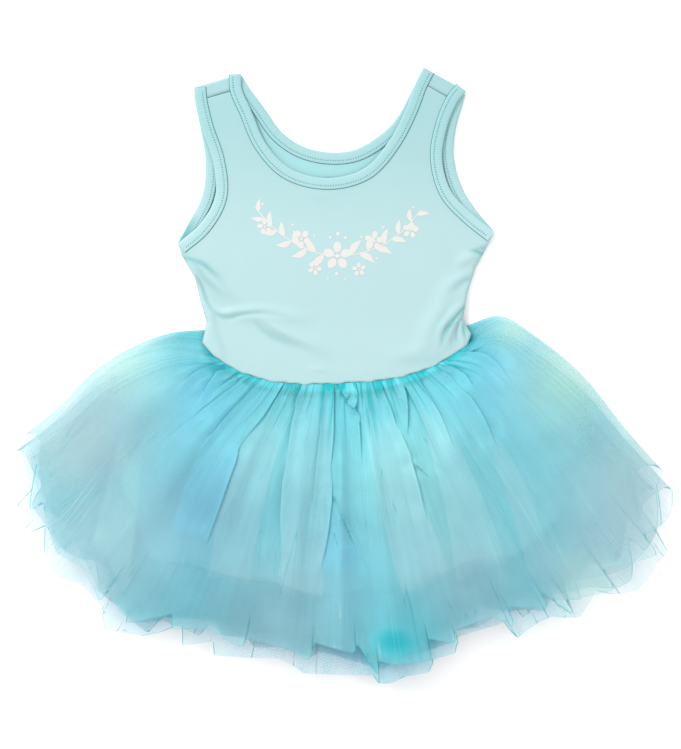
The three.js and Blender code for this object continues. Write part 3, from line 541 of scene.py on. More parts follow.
def lap_rows(tier, rng):
    """Every lap of one tier's front: the long ones first, then pleats and the small gathers at the seam."""
    rows = list(LAPS) if tier["layer"] == OUTER_LAYER else []

    def drawn(ranges):
        return [rng.uniform(*ends) for ends in ranges] + [rng.choice((-1, 1))]

    for k in range(tier["pleats"]):
        s = -0.9 + 1.8 * (k + rng.uniform(0.1, 0.9)) / tier["pleats"]
        drift = rng.uniform(-0.03, 0.03)
        rows.append((s, 0.0, s + drift, *drawn(PLEAT)))
    for k in range(tier["gathers"]):
        s = -0.95 + 1.9 * (k + rng.uniform(0.1, 0.9)) / tier["gathers"]
        s += 0.05 * math.sin(13 * s + tier["phase"])
        reach = 0.05 + 0.2 * rng.random() ** 2
        drift = rng.uniform(-0.9, 0.9) * reach * 0.25
        rows.append((s, 0.0, s + drift, reach, *drawn(GATHER)))
    if tier["hem"] is HEM_LONG:
        rows += [(*ends, *HEM_LAP_SHAPE, 1 if k % 2 else -1) for k, ends in enumerate(HEM_LAPS)]
        return rows
    for (s0, r0), (s1, r1) in zip(tier["hem"], tier["hem"][1:]):
        if abs(r1 - r0) / (s1 - s0) > HEM_STEP:
            middle, start = (s0 + s1) / 2, rng.uniform(0.78, 0.9)
            side = 1 if r0 > r1 else -1
            rows.append((middle, start, middle, 1.1, 1.5, rng.uniform(2.5, 4), 2.0, 0.8, side))
    return rows


def lap_field(rows, s, r, length):
    """The sideways shift, in s, and the height that the laps give."""
    shift = np.zeros_like(s)
    height = np.zeros_like(s)
    for s0, r0, s1, r1, width0, width1, lap, high, side in rows:
        t_row = (r - r0) / (r1 - r0)
        middle = mix(s0, s1, t_row)
        half = mix(width0, width1, np.clip(t_row, 0, 1)) / (length / 2)
        there = 1.0 if r0 <= 0 else smooth(r0 - 0.05, r0 + 0.07, r)
        if r1 < 1:
            there = there * (1 - smooth(r1 - 0.6 * (r1 - r0), r1, r))
        t = np.clip((s - middle) / half, -1, 1)
        shift -= there * lap * half * t * (1 - t * t) ** 2
        height += there * side * high * lap_wave(t)
    return shift, height


def tier_points(tier):
    """The middle surface of a tier, row by row from the seam, round the front and then the back.

    Gives the points, their s and r on the skirt's plan, which are on the front, and how far across they lie.
    """
    rng = random.Random(tier["seed"])
    turn = np.linspace(0, math.pi / 2, FOLD_STEPS)[:-1]
    side_s, side_rise = FOLD_FROM + (1 - FOLD_FROM) * np.cos(turn), np.sin(turn)
    front, back = (np.linspace(-FOLD_FROM, FOLD_FROM, tier[key] + 1) for key in ("front", "back"))
    s = np.concatenate([-side_s, front, side_s[::-1], side_s[1:], -back, -side_s[::-1]])
    level = [np.ones(len(line)) for line in (front, back)]
    rise = np.concatenate([side_rise, level[0], side_rise[::-1], side_rise[1:], level[1], side_rise[::-1]])
    on_front = np.arange(len(s)) < len(front) + 2 * len(side_s)
    s, down = np.meshgrid(s, np.linspace(0, 1, tier["rows"]) ** ROW_SPACING)
    rise, on_front = np.broadcast_to(rise, s.shape), np.broadcast_to(on_front, s.shape)
    hem = np.array(tier["hem"], float)
    reach = np.interp(s, hem[:, 0], hem[:, 1])
    other = np.interp(-s, hem[:, 0], hem[:, 1]) - BACK_SHORTER
    reach = np.where(on_front, reach, mix(reach, other, rise))
    r = mix(tier["start"], reach, down)
    across = s * mix(tier["spread"], tier["hem_spread"], down)
    length = row_length(r)
    shift, height = lap_field(lap_rows(tier, rng), across, r, length)
    back_shift, back_height = lap_field(lap_rows({**tier, "layer": -1}, rng), across, r, length)
    shift = np.where(on_front, shift, back_shift) * rise
    lap_high = np.where(on_front, height * tier["height"], BACK_LAP_SHARE * back_height) * rise
    moved = across + shift
    on_back_seam = (tier["layer"] == OUTER_LAYER) & ~(on_front & (rise > 0))
    place = plan(moved, r, np.where(on_back_seam, mix(0.5, 1, rise), 0.0))
    back_z = BACK_Z + BACK_PITCH * (OUTER_LAYER - tier["layer"])
    full_fold_z = (LINING_FRONT_Z + BACK_Z + BACK_PITCH * OUTER_LAYER) / 2
    fold_z = mix(back_z + SIDE_RISE, full_fold_z, smooth(0, SIDE_REACH, r))
    seated = smooth(0, 0.03, r - tier["start"]) * 0.75 + 0.25
    flat_z = np.where(on_front, front_height(tier, moved, r), back_z) + lap_high * seated
    z = np.maximum(mix(fold_z, flat_z, rise), LOWEST_Z)
    return np.concatenate([place, z[..., None]], axis=-1), s, r, on_front, moved


def gathered(points, r, cut):
    """How many times the net is gathered at each point, seen from above, and where it turns over."""
    across = np.gradient(points, axis=1)
    down = np.gradient(points, axis=0)
    normal = np.cross(across, down)
    upright = np.abs(normal[..., 2]) / (np.linalg.norm(normal, axis=-1) + 1e-9)
    flat = mix(cut[0], cut[1], r) / MM / points.shape[1]
    packed = np.clip(flat / (np.linalg.norm(across, axis=-1) + 1e-6), 0.8, 3.2)
    return packed / np.clip(upright, 0.5, 1), 1 - smooth(0.25, 0.7, upright)


def hem_distance(points):
    """How far each point of a tier is from its hem line, in millimetres, and how steep the hem is there."""
    last = points[-1, :, :2]
    down = unit(last - points[-2, :, :2], 1e-9)
    line = unit(np.gradient(last, axis=0), 1e-9)
    square = np.abs(down[:, 0] * line[:, 1] - down[:, 1] * line[:, 0])
    away = np.linalg.norm(points[:, :, :2] - last, axis=-1) * np.clip(square, 0.1, 1)
    return away, np.broadcast_to(mix(0.95, 0.3, smooth(0.55, 0.95, square)), away.shape)


def blurred(values, reach):
    """Means over so many columns either way, round the tier."""
    count = 2 * reach + 1
    run = np.cumsum(np.pad(values, ((0, 0), (reach + 1, reach)), mode="wrap"), axis=1)
    return (run[:, count:] - run[:, :-count]) / count


def along_lines(x, y, lines):
    """The highest of the soft strokes, lines of x, y, width and strength, at each point."""
    most = np.zeros_like(x)
    for line in lines:
        count = 12 * (len(line) - 1)
        for px, py, width, strength in on_spline(line, np.linspace(0, len(line) - 1, count)):
            near = (np.abs(x - px) < 3 * width) & (np.abs(y - py) < 3 * width)
            off = ((x[near] - px) ** 2 + (y[near] - py) ** 2) / width**2
            most[near] = np.maximum(most[near], strength * np.exp(-off))
    return most


def jersey_underside(x, y):
    """Underside of the bodice front."""
    (x0, _), (x1, _) = WAIST_FRONT["left"], WAIST_FRONT["right"]
    seam = waist(np.clip((x - x0) / (x1 - x0) * 2 - 1, -1, 1), WAIST_FRONT)[..., 1]
    z = SHOULDER_Z + WAIST_LIFT * (1 - smooth(seam, seam + WAIST_LIFT_REACH, y))
    z = z + along_lines(x, y, RIDGES) - along_lines(x, y, TROUGHS)
    for cx0, cy0, cx1, cy1, width, height in CREASES:
        run = np.array([cx1 - cx0, cy1 - cy0], float)
        length = np.linalg.norm(run)
        t = ((x - cx0) * run[0] + (y - cy0) * run[1]) / length**2
        off = np.abs((x - cx0) * run[1] - (y - cy0) * run[0]) / length
        here = smooth(-CREASE_RUN_OUT, CREASE_FADE, t) * (1 - smooth(1 - CREASE_FADE, 1 + CREASE_RUN_OUT, t))
        z = z + height * here * np.exp(-((off / width) ** 2))
    return z


def distance_to(line, x, y):
    """Distance in plan from points to a line."""
    p = np.stack([x, y], axis=-1)[..., None, :]
    a, b = line[:-1], line[1:]
    run = b - a
    t = np.clip(((p - a) * run).sum(-1) / (run * run).sum(-1), 0, 1)
    return np.linalg.norm(p - (a + t[..., None] * run), axis=-1).min(-1)


def inside(outline, x, y):
    """Which points lie within a closed outline."""
    a, b = outline, np.roll(outline, -1, axis=0)
    crosses = (a[:, 1] > y[..., None]) != (b[:, 1] > y[..., None])
    slope = (b[:, 0] - a[:, 0]) / np.where(b[:, 1] == a[:, 1], 1e-9, b[:, 1] - a[:, 1])
    return (crosses & (x[..., None] < a[:, 0] + (y[..., None] - a[:, 1]) * slope)).sum(-1) % 2 == 1


def cut_cloth(outline, cell):
    """Even triangles that fill an outline: points in plan and faces."""
    low, high = outline.min(0), outline.max(0)
    gx, gy = np.meshgrid(np.arange(low[0], high[0], cell), np.arange(low[1], high[1], cell * 0.87))
    gx = gx + np.where(np.arange(gx.shape[0]) % 2 == 0, 0, cell / 2)[:, None]
    x, y = gx.ravel(), gy.ravel()
    keep = inside(outline, x, y)
    x, y = x[keep], y[keep]
    keep = distance_to(np.vstack([outline, outline[:1]]), x, y) > 0.6 * cell
    inner = np.stack([x[keep], y[keep]], axis=-1)
    points = [Vector(p) for p in np.vstack([outline, inner]).tolist()]
    verts, _, faces, *_ = delaunay_2d_cdt(points, [], [list(range(len(outline)))], 1, 1e-4)
    return np.array([tuple(v) for v in verts]), [list(f) for f in faces]


# Meshes and materials
def make_object(name, points, faces, materials, uv=None, smooth_faces=True):
    """A mesh object at the origin from points in millimetres."""
    mesh = bpy.data.meshes.new(name)
    mesh.from_pydata((np.asarray(points, float) * MM).tolist(), [], faces)
    for material in materials:
        mesh.materials.append(material)
    mesh.polygons.foreach_set("use_smooth", [smooth_faces] * len(mesh.polygons))
    if uv is not None:
        corner = np.zeros(len(mesh.loops), np.int32)
        mesh.loops.foreach_get("vertex_index", corner)
        layer = mesh.uv_layers.new(name="cut")
        layer.data.foreach_set("uv", np.asarray(uv, np.float32)[corner].ravel())
    mesh.update()
    obj = bpy.data.objects.new(name, mesh)
    bpy.context.scene.collection.objects.link(obj)
    return obj


def grid_faces(rows, columns):
    at = np.arange(rows * columns).reshape(rows, columns)
    quads = np.stack([at[:-1, :-1], at[1:, :-1], at[1:, 1:], at[:-1, 1:]], axis=-1)
    return quads.reshape(-1, 4).tolist()


def set_point_values(obj, name, values):
    attribute = obj.data.attributes.new(name, "FLOAT", "POINT")
    attribute.data.foreach_set("value", np.asarray(values, np.float32).ravel())


def set_point_colours(obj, name, values):
    attribute = obj.data.color_attributes.new(name, "FLOAT_COLOR", "POINT")
    opaque = np.concatenate([values, np.ones((len(values), 1))], axis=1)
    attribute.data.foreach_set("color", opaque.astype(np.float32).ravel())


def polygon_vectors(mesh, name):
    values = np.zeros(len(mesh.polygons) * 3, np.float32)
    mesh.polygons.foreach_get(name, values)
    return values.reshape(-1, 3)


def face_up(obj):
    """Turns the faces so that most look upwards."""
    if polygon_vectors(obj.data, "normal")[:, 2].sum() < 0:
        obj.data.flip_normals()


def face_out(obj):
    """Turns a closed mesh right side out."""
    mesh = obj.data
    mesh.calc_loop_triangles()
    corner = np.zeros(len(mesh.loop_triangles) * 3, np.int32)
    mesh.loop_triangles.foreach_get("vertices", corner)
    co = np.zeros(len(mesh.vertices) * 3, np.float32)
    mesh.vertices.foreach_get("co", co)
    a, b, c = co.reshape(-1, 3)[corner.reshape(-1, 3)].transpose(1, 0, 2)
    if (a * np.cross(b, c)).sum() < 0:
        mesh.flip_normals()


def thicken(obj, thickness):
    wall = obj.modifiers.new("Cloth thickness", "SOLIDIFY")
    wall.thickness = thickness
    wall.offset = 0


class Nodes:
    """Adds nodes to a tree. Their inputs are values or other nodes' outputs."""

    def __init__(self, tree):
        self.tree = tree
        self.shader = tree.nodes.get("Principled BSDF")

    def put(self, node, inputs):
        for name, value in inputs.items():
            if isinstance(value, bpy.types.NodeSocket):
                self.tree.links.new(value, node.inputs[name])
            else:
                node.inputs[name].default_value = value
        return node

    def add(self, kind, inputs=None, **values):
        node = self.tree.nodes.new(kind)
        for key, value in values.items():
            setattr(node, key, value)
        return self.put(node, inputs or {})

    def math(self, operation, a, b=0.0, clamp=False):
        return self.add("ShaderNodeMath", {0: a, 1: b}, operation=operation, use_clamp=clamp).outputs[0]

    def blend(self, factor, a, b):
        """A mix of two colours."""
        node = self.add("ShaderNodeMix", {0: factor, 6: a, 7: b}, data_type="RGBA", blend_type="MIX")
        return node.outputs[2]

    def ranged(self, value, start, end, low=0.0, high=1.0):
        """low where the value is at start, high where it is at end."""
        inputs = {"Value": value, "From Min": start, "From Max": end, "To Min": low, "To Max": high}
        return self.add("ShaderNodeMapRange", inputs).outputs[0]

    def noise(self, place, scale, detail):
        inputs = {"Vector": place, "Scale": scale, "Detail": detail}
        return self.add("ShaderNodeTexNoise", inputs).outputs["Fac"]

    def bands(self, place, scale, distortion, detail):
        inputs = {"Vector": place, "Scale": scale, "Distortion": distortion, "Detail": detail}
        return self.add("ShaderNodeTexWave", inputs, bands_direction="X").outputs["Fac"]

    def attribute(self, name, output="Fac"):
        return self.add("ShaderNodeAttribute", attribute_name=name).outputs[output]

    def place(self):
        return self.add("ShaderNodeTexCoord").outputs["Object"]

    def cut(self, down=None):
        """The place on the flat cut, drawn out down the cloth where down says so."""
        cut = self.add("ShaderNodeUVMap", uv_map="cut").outputs[0]
        if down is None:
            return cut
        return self.add("ShaderNodeMapping", {"Vector": cut, "Scale": (1, down, 1)}).outputs[0]


def new_material(name, roughness, specular=0.35):
    material = bpy.data.materials.new(name)
    material.use_nodes = True
    nodes = Nodes(material.node_tree)
    nodes.put(nodes.shader, {"Roughness": roughness, "Specular IOR Level": specular})
    return material, nodes


def rgba(colour, share=1.0):
    return (*[v * share for v in colour], 1)


def jersey_material(name, colour, ribs=0.0):
    """Fine cotton knit: faint wales, a soft mottle, painted shade and a slight sheen."""
    found = bpy.data.materials.get(name)
    if found:
        return found
    material, nodes = new_material(name, 0.58)
    place = nodes.place()
    mottle = nodes.math("MULTIPLY", nodes.noise(place, scale=38, detail=3), 0.55)
    tinted = nodes.blend(mottle, rgba(colour), rgba(colour, 0.93))
    # Painted shade: the jersey darkens towards its shade colour as far as the shade attribute says
    tinted = nodes.blend(nodes.attribute("shade"), tinted, rgba(colours().shade))
    wales = nodes.bands(place, scale=420, distortion=1.2, detail=1)
    height = nodes.math("ADD", nodes.math("MULTIPLY", wales, 0.5), nodes.noise(place, scale=1500, detail=2))
    if ribs:
        height = nodes.math("ADD", height, nodes.bands(nodes.cut(), scale=ribs, distortion=2.0, detail=2))
    bump = nodes.add("ShaderNodeBump", {"Height": height, "Strength": 0.12, "Distance": 0.0004}).outputs[0]
    sheen = {"Sheen Weight": 0.12, "Sheen Roughness": 0.5}
    nodes.put(nodes.shader, {"Base Color": tinted, "Normal": bump, **sheen})
    return material


def plain_material(name, colour, roughness=0.6):
    """Thread and the grooves' painted shade: one colour with a fine mottle."""
    found = bpy.data.materials.get(name)
    if found:
        return found
    material, nodes = new_material(name, roughness)
    mottle = nodes.noise(nodes.place(), scale=240, detail=2)
    nodes.put(nodes.shader, {"Base Color": nodes.blend(mottle, rgba(colour), rgba(colour, 0.86))})
    return material


def tulle_material(name, unlined):
    """Fine net: its colour and closeness come from the cloth's own attributes, its cells from the cut."""
    material, nodes = new_material(name, 0.75, 0.2)
    teal, mint, deep = (rgba(getattr(colours(), key)) for key in ("teal", "mint", "deep"))
    tint, close = nodes.attribute("tint", "Color"), nodes.attribute("closeness")

    # Creases that come and go: along some the net is denser with painted shade, along others it has a painted
    # highlight
    waves = nodes.noise(nodes.cut(down=0.11), scale=34, detail=1)
    there = nodes.ranged(nodes.noise(nodes.cut(), scale=14, detail=1), 0.42, 0.62)

    def creased(level, width):
        off = nodes.math("ABSOLUTE", nodes.math("SUBTRACT", waves, level))
        return nodes.math("MULTIPLY", nodes.ranged(off, width, 0.0), there)

    crease_shade, crease_highlight = creased(0.5, 0.007), creased(0.57, 0.009)
    tint = nodes.blend(nodes.math("MULTIPLY", crease_shade, 0.6), tint, teal)
    tint = nodes.blend(nodes.math("MULTIPLY", crease_highlight, 0.4), tint, mint)
    close = nodes.math("MAXIMUM", close, nodes.math("MULTIPLY", nodes.math("MAXIMUM", crease_shade, crease_highlight), 0.6))

    # Deeper where no lining lies behind the nets
    past_lining = nodes.ranged(nodes.attribute("below"), -0.4, 0.8)
    bare = nodes.math("MULTIPLY", nodes.attribute("unlined"), past_lining)
    tint = nodes.blend(nodes.math("MULTIPLY", bare, unlined), tint, deep)
    close = nodes.math("ADD", close, nodes.math("MULTIPLY", bare, 0.12))

    # A line on the hem where it runs down the skirt
    edge = nodes.math("MULTIPLY", nodes.ranged(nodes.attribute("to_hem"), 1.3, 0.4), nodes.attribute("steep"))
    tint = nodes.blend(edge, tint, teal)
    close = nodes.math("MAXIMUM", close, nodes.math("MULTIPLY", edge, 0.9))

    # The net's cells, uneven threads and drifts
    net = {"Vector": nodes.cut(), "Scale": 700, "Randomness": 0.35}
    cells = nodes.add("ShaderNodeTexVoronoi", net, feature="DISTANCE_TO_EDGE").outputs["Distance"]
    thread = nodes.ranged(cells, 0.0, 0.45, 1.25, 0.75)
    streak = nodes.ranged(nodes.noise(nodes.cut(down=0.05), scale=110, detail=2), 0.3, 0.7, 0.97, 1.03)
    cloud = nodes.ranged(nodes.noise(nodes.place(), scale=16, detail=2), 0.3, 0.7, 0.8, 1.2)
    woven = nodes.math("MULTIPLY", nodes.math("MULTIPLY", close, thread), streak)
    nodes.put(nodes.shader, {"Base Color": tint, "Alpha": nodes.math("MULTIPLY", woven, cloud, clamp=True)})
    return material


def declare(obj, node_names):
    """States a piece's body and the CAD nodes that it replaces."""
    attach(obj, "root")
    if node_names:
        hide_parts(*node_names)


def remember(group, obj):
    """Names the objects that later operators rest on or go with."""
    bpy.context.scene[f"dress_{group}"] = [*bpy.context.scene.get(f"dress_{group}", []), obj.name]


# Sizes and colours that a user would change
def length_property(name, description, default, precision=4):
    return bpy.props.FloatProperty(
        name=name, description=description, default=default, unit="LENGTH", precision=precision
    )


def colour_property(name, description, *default):
    return bpy.props.FloatVectorProperty(
        name=name, description=description, default=srgb(*default), subtype="COLOR"
    )


class BodiceSizes(bpy.types.PropertyGroup):
    cloth: length_property("Jersey", "Thickness of the jersey", 0.0009)
    cell: length_property("Mesh cell", "Size of the bodice's triangles", 0.0017)
    band_width: length_property("Binding width", "Width of the bound edges", 0.0105)
    stitch_pitch: length_property("Stitch pitch", "From stitch to stitch", 0.0023)
    stitch_length: length_property("Stitch length", "Length of one stitch", 0.0017)
    stitch_width: length_property("Thread", "Width of the thread", 0.0009, 5)
    print_lift: length_property("Print", "Height of the print above the cloth", 0.00012, 5)


class SkirtSizes(bpy.types.PropertyGroup):
    closeness: bpy.props.FloatProperty(
        name="Net closeness", description="Share of the light that one flat layer of net stops", default=0.26,
        subtype="FACTOR", min=0, max=1,
    )
    lining: length_property("Lining", "Thickness of the lining", 0.0007)


class DressColours(bpy.types.PropertyGroup):
    jersey: colour_property("Jersey", "Colour of the bodice", 169, 200, 202)
    # Painted shade: the colour that the jersey darkens to in its creases and folds and towards the shoulders
    shade: colour_property("Jersey shade", "Colour of the jersey in its own shade", 84, 160, 166)
    inside: colour_property("Jersey inside", "Colour of the back's inside", 160, 206, 208)
    band: colour_property("Binding", "Colour of the bound edges", 170, 204, 206)
    thread: colour_property("Thread", "Colour of the stitches", 80, 162, 166)
    # Painted shade in the grooves where the bindings meet the panels
    seam: colour_property("Seam", "Colour in the seams' grooves", 76, 146, 150)
    ink: colour_property("Print", "Colour of the chest print", 204, 201, 198)
    ink_rose: colour_property("Print rose", "Rose that the print shifts to", 222, 204, 208)
    ink_green: colour_property("Print green", "Green that the print shifts to", 204, 220, 206)
    lining: colour_property("Lining", "Colour of the lining", 182, 226, 222)
    aqua: colour_property("Tulle aqua", "Colour of the outer tier", 120, 212, 222)
    sky: colour_property("Tulle sky", "Colour of the middle tier", 120, 200, 226)
    lavender: colour_property("Tulle lavender", "Colour of the inner tier", 182, 206, 214)
    # Mint also paints the highlights along the net's creases
    mint: colour_property("Tulle mint", "Colour of the net at the side folds", 176, 226, 218)
    # Teal is the denser net where it turns over, and also the painted shade along its creases and in the vees
    # between its gathers
    teal: colour_property("Tulle teal", "Colour where the net turns over at a fold", 14, 170, 178)
    deep: colour_property("Tulle deep", "Colour of the inner nets below the lining", 92, 140, 162)
    vivid: colour_property("Tulle vivid", "Colour of the net's full gathers below the waist", 92, 206, 222)
    fringe: colour_property("Tulle fringe", "Colour of the nets at their hems", 120, 172, 176)
    bunch: colour_property("Tulle bunch", "Colour of the bunched net near the hem", 0, 172, 184)


def colours():
    return bpy.context.scene.dress_colours


def bodice_sizes():
    return bpy.context.scene.dress_bodice


def skirt_sizes():
    return bpy.context.scene.dress_skirt


# Builders
def panel_outline(neck, arm_left, arm_right, side_left, side_right, seam, trim, step=2.5):
    """A bodice panel's outline, anticlockwise from its left underarm."""
    lines = []
    for rows, turn in ((neck, -1), (arm_left, 1), (arm_right, -1)):
        line = edge_line(rows, step)
        lines.append(line + inward(line, turn) * PANEL_INSET)
    seam_line = resample(waist(np.linspace(-1, 1, 80), seam), step)
    seam_line[:, 1] += sum(
        height * np.sin(seam_line[:, 0] / length + phase) for height, length, phase in SEAM_RIPPLES
    )

    def past(line, start, end):
        return np.linalg.norm(line - line[end], axis=1) >= start

    neck_line, left, right = lines
    neck_line = neck_line[past(neck_line, trim[0], 0) & past(neck_line, trim[0], -1)]
    left, right = (line[past(line, trim[1], 0)] for line in (left, right))
    sides = resample(side_left, step), resample(side_right, step)
    return np.vstack([sides[0], seam_line[1:-1], sides[1][::-1], right[::-1], neck_line[::-1], left])


def side_roll(x, y, sides, reach, drop):
    """How far the cloth turns down at the side seams."""
    d = np.minimum(*[distance_to(np.array(side, float), x, y) for side in sides])
    t = np.clip(1 - d / reach, 0, 1)
    return drop * (1 - np.sqrt(1 - t * t))


def front_middle(x, y):
    """The middle of the front's jersey."""
    return jersey_underside(x, y) + JERSEY / 2 - side_roll(x, y, (SIDE_LEFT, SIDE_RIGHT), *SIDE_ROLL)


def shaded(x, y, lines, deep=()):
    """How much painted shade the jersey takes at each point, 0 to 1."""
    strength, start, end = TOP_SHADE
    soft = SHADE_SHARE * np.maximum(strength * smooth(start, end, y), along_lines(x, y, lines))
    return np.maximum(soft, along_lines(x, y, deep))


def build_front():
    sizes = bodice_sizes()
    outline = panel_outline(
        FRONT_NECK, FRONT_ARM_LEFT, FRONT_ARM_RIGHT, SIDE_LEFT, SIDE_RIGHT, WAIST_FRONT, FRONT_TRIM
    )
    place, faces = cut_cloth(outline, sizes.cell / MM)
    x, y = place.T
    material = jersey_material("Bodice jersey", colours().jersey)
    obj = make_object("bodice_front", np.column_stack([place, front_middle(x, y)]), faces, [material])
    face_up(obj)
    set_point_values(obj, "shade", shaded(x, y, SHADES, DEEP_SHADES))
    thicken(obj, sizes.cloth)
    declare(obj, ["front_panel"])
    remember("front", obj)


def strap_rows(back, front):
    """A strap of the back panel, over the shoulder fold and down to the seam on the front.

    back and front each hold the neck's edge and the armhole's, as a line and the side that the cloth is on.
    """

    def line_at(edges, travel):
        """Across the strap, so far from the shoulder fold."""
        ends = []
        for line, turn in edges:
            run, normal = distances(line), inward(line, turn)
            point, out = (
                np.array([np.interp(travel, run, of[:, k]) for k in (0, 1)]) for of in (line, normal)
            )
            ends.append(point + out * PANEL_INSET)
        return mix(ends[0], ends[1], np.linspace(0, 1, STRAP_POINTS)[:, None])

    def section(line, z):
        return np.column_stack([line, np.full(STRAP_POINTS, z)])

    under, over = STRAP_MIDDLE_Z - STRAP_RADIUS, STRAP_MIDDLE_Z + STRAP_RADIUS
    sections = [section(line_at(back, travel), under) for travel in STRAP_UNDER]
    fold = line_at(front, 0.0)
    away = unit(line_at(front, STRAP_RUN) - fold)
    for angle in np.radians(np.arange(-90, 91, 22.5)):
        depth = STRAP_RADIUS * (1 - math.cos(angle))
        sections.append(section(fold + away * depth, STRAP_MIDDLE_Z + STRAP_RADIUS * math.sin(angle)))
    for travel in STRAP_OVER:
        sections.append(section(line_at(front, travel), over))
    return np.array(sections)


def build_back():
    sizes = bodice_sizes()
    outline = panel_outline(
        BACK_NECK, BACK_ARM_LEFT, BACK_ARM_RIGHT, SIDE_LEFT[:-2], SIDE_RIGHT[:-2], WAIST_BACK, BACK_TRIM
    )
    place, faces = cut_cloth(outline, BACK_CELL * sizes.cell / MM)
    points = np.column_stack([place, np.full(len(place), BACK_MIDDLE_Z)])
    for way, arms in ((1, (BACK_ARM_LEFT, FRONT_ARM_LEFT)), (-1, (BACK_ARM_RIGHT, FRONT_ARM_RIGHT))):
        necks = ((edge_line(rows[::way], STRAP_STEP), -way) for rows in (BACK_NECK, FRONT_NECK))
        arms = ((edge_line(rows, STRAP_STEP), way) for rows in arms)
        rows = strap_rows(*zip(necks, arms))
        faces += (np.array(grid_faces(*rows.shape[:2])) + len(points)).tolist()
        points = np.vstack([points, rows.reshape(-1, 3)])
    materials = [
        jersey_material("Bodice inside", colours().inside),
        jersey_material("Bodice jersey", colours().jersey),
    ]
    obj = make_object("bodice_back", points, faces, materials)
    face_up(obj)
    on_top = polygon_vectors(obj.data, "center")[:, 2] > STRAP_TURNS_Z * MM
    obj.data.polygons.foreach_set("material_index", on_top.astype(np.int32))
    set_point_values(obj, "shade", shaded(points[:, 0], points[:, 1], (), BACK_SHADES))
    thicken(obj, sizes.cloth)
    declare(obj, ["back_panel"])
    remember("back", obj)


# Each binding's name and node, its edge, the side that the cloth is on, whether it lies on the front and
# which of its ends are at a shoulder fold
BINDINGS = (
    ("neck_binding_front", "neck_band_front", FRONT_NECK, -1, True, (True, True)),
    ("neck_binding_back", "neck_band_back", BACK_NECK, -1, False, (True, True)),
    ("arm_binding_left_front", "arm_band_left_front", FRONT_ARM_LEFT, 1, True, (True, False)),
    ("arm_binding_left_back", "arm_band_left_back", BACK_ARM_LEFT, 1, False, (True, False)),
    ("arm_binding_right_front", "arm_band_right_front", FRONT_ARM_RIGHT, -1, True, (True, False)),
    ("arm_binding_right_back", "arm_band_right_back", BACK_ARM_RIGHT, -1, False, (True, False)),
)
# A binding's section: depth into the cloth as a share of its width, and height above the panel's underside
BINDING_SECTION = (
    (0.21, 0.0), (0.13, 0.05), (0.055, 0.35), (0.012, 0.8), (0.0, 1.2), (0.02, 1.6), (0.07, 1.95),
    (0.15, 2.2), (0.3, 2.3), (0.5, 2.32), (0.63, 2.26), (0.70, 2.12), (0.77, 2.24), (0.88, 2.22),
    (0.95, 2.0), (0.985, 1.75), (1.04, 1.15), (0.96, 1.1), (0.6, 1.12), (0.24, 1.1),
)
# Faces on this side of the section take the painted shade of the groove between binding and panel
SHADED_GROOVE_SIDE = 15  # the section's side that slopes down to the panel
PUCKERS = ((0.5, 2.05), (0.3, 1.13), (0.3, 0.31))  # height and closeness of the ripples along a binding
PUCKER_SHARE = 0.1
PUCKER_ABOVE = 2.1  # only the section's upper side ripples


def binding_base(x, y, on_front):
    return jersey_underside(x, y) if on_front else np.zeros_like(x)


def build_binding(name, node, rows, turn, on_front, ends):
    width = bodice_sizes().band_width / MM
    rng = random.Random(len(name))
    line = edge_line(rows, BAND_STEP)
    normal = inward(line, turn)
    if not on_front:
        keep = np.linalg.norm(line - line[0], axis=1) > BACK_BAND_START
        if ends[1]:
            keep &= np.linalg.norm(line - line[-1], axis=1) > BACK_BAND_START
        line, normal = line[keep], normal[keep]
    along = distances(line)
    pucker = sum(high * np.sin(along * often + rng.uniform(0, 6.28)) for high, often in PUCKERS)
    grid = []
    for depth, height in BINDING_SECTION:
        p = line + normal * (depth * width)
        z = binding_base(p[:, 0], p[:, 1], on_front) + height
        grid.append(np.column_stack([p, z + PUCKER_SHARE * pucker * (height > PUCKER_ABOVE)]))
    grid = np.array(grid).transpose(1, 0, 2)
    to_end = np.full(len(line), np.inf)
    for there, away in zip(ends, (along, along[-1] - along)):
        if there:
            to_end = np.minimum(to_end, away)
    shrink = np.sqrt(1 - (1 - np.clip(to_end / BAND_END[on_front], 0.02, 1)) ** 2)
    centre = grid[:, :, 2].mean(1, keepdims=True)
    grid[:, :, 2] = centre + (grid[:, :, 2] - centre) * shrink[:, None]
    sections, corners = grid.shape[:2]
    faces, strip = [], []
    for i in range(sections - 1):
        for j in range(corners):
            k = (j + 1) % corners
            faces.append((i * corners + j, i * corners + k, (i + 1) * corners + k, (i + 1) * corners + j))
            strip.append(int(j == SHADED_GROOVE_SIDE))
    faces += [tuple(range(corners)), tuple(reversed(range((sections - 1) * corners, sections * corners)))]
    strip += [0, 0]
    depths = np.array([d for d, _ in BINDING_SECTION]) * width * MM
    uv = np.stack(np.meshgrid(depths, along * MM), axis=-1)[..., ::-1].reshape(-1, 2)
    points = grid.reshape(-1, 3)
    materials = [
        jersey_material("Binding jersey", colours().band, ribs=90),
        plain_material("Seam groove shade", colours().seam, 0.8),
    ]
    obj = make_object(name, points, faces, materials, uv)
    obj.data.polygons.foreach_set("material_index", strip)
    # Painted shade on the binding: a little all along, more towards the shoulders and at the back's underarms
    deep = () if on_front else BACK_SHADES
    set_point_values(obj, "shade", BAND_SHADE + shaded(points[:, 0], points[:, 1], (), deep))
    face_out(obj)
    declare(obj, [node])
    remember("bindings_front" if on_front else "bindings_back", obj)


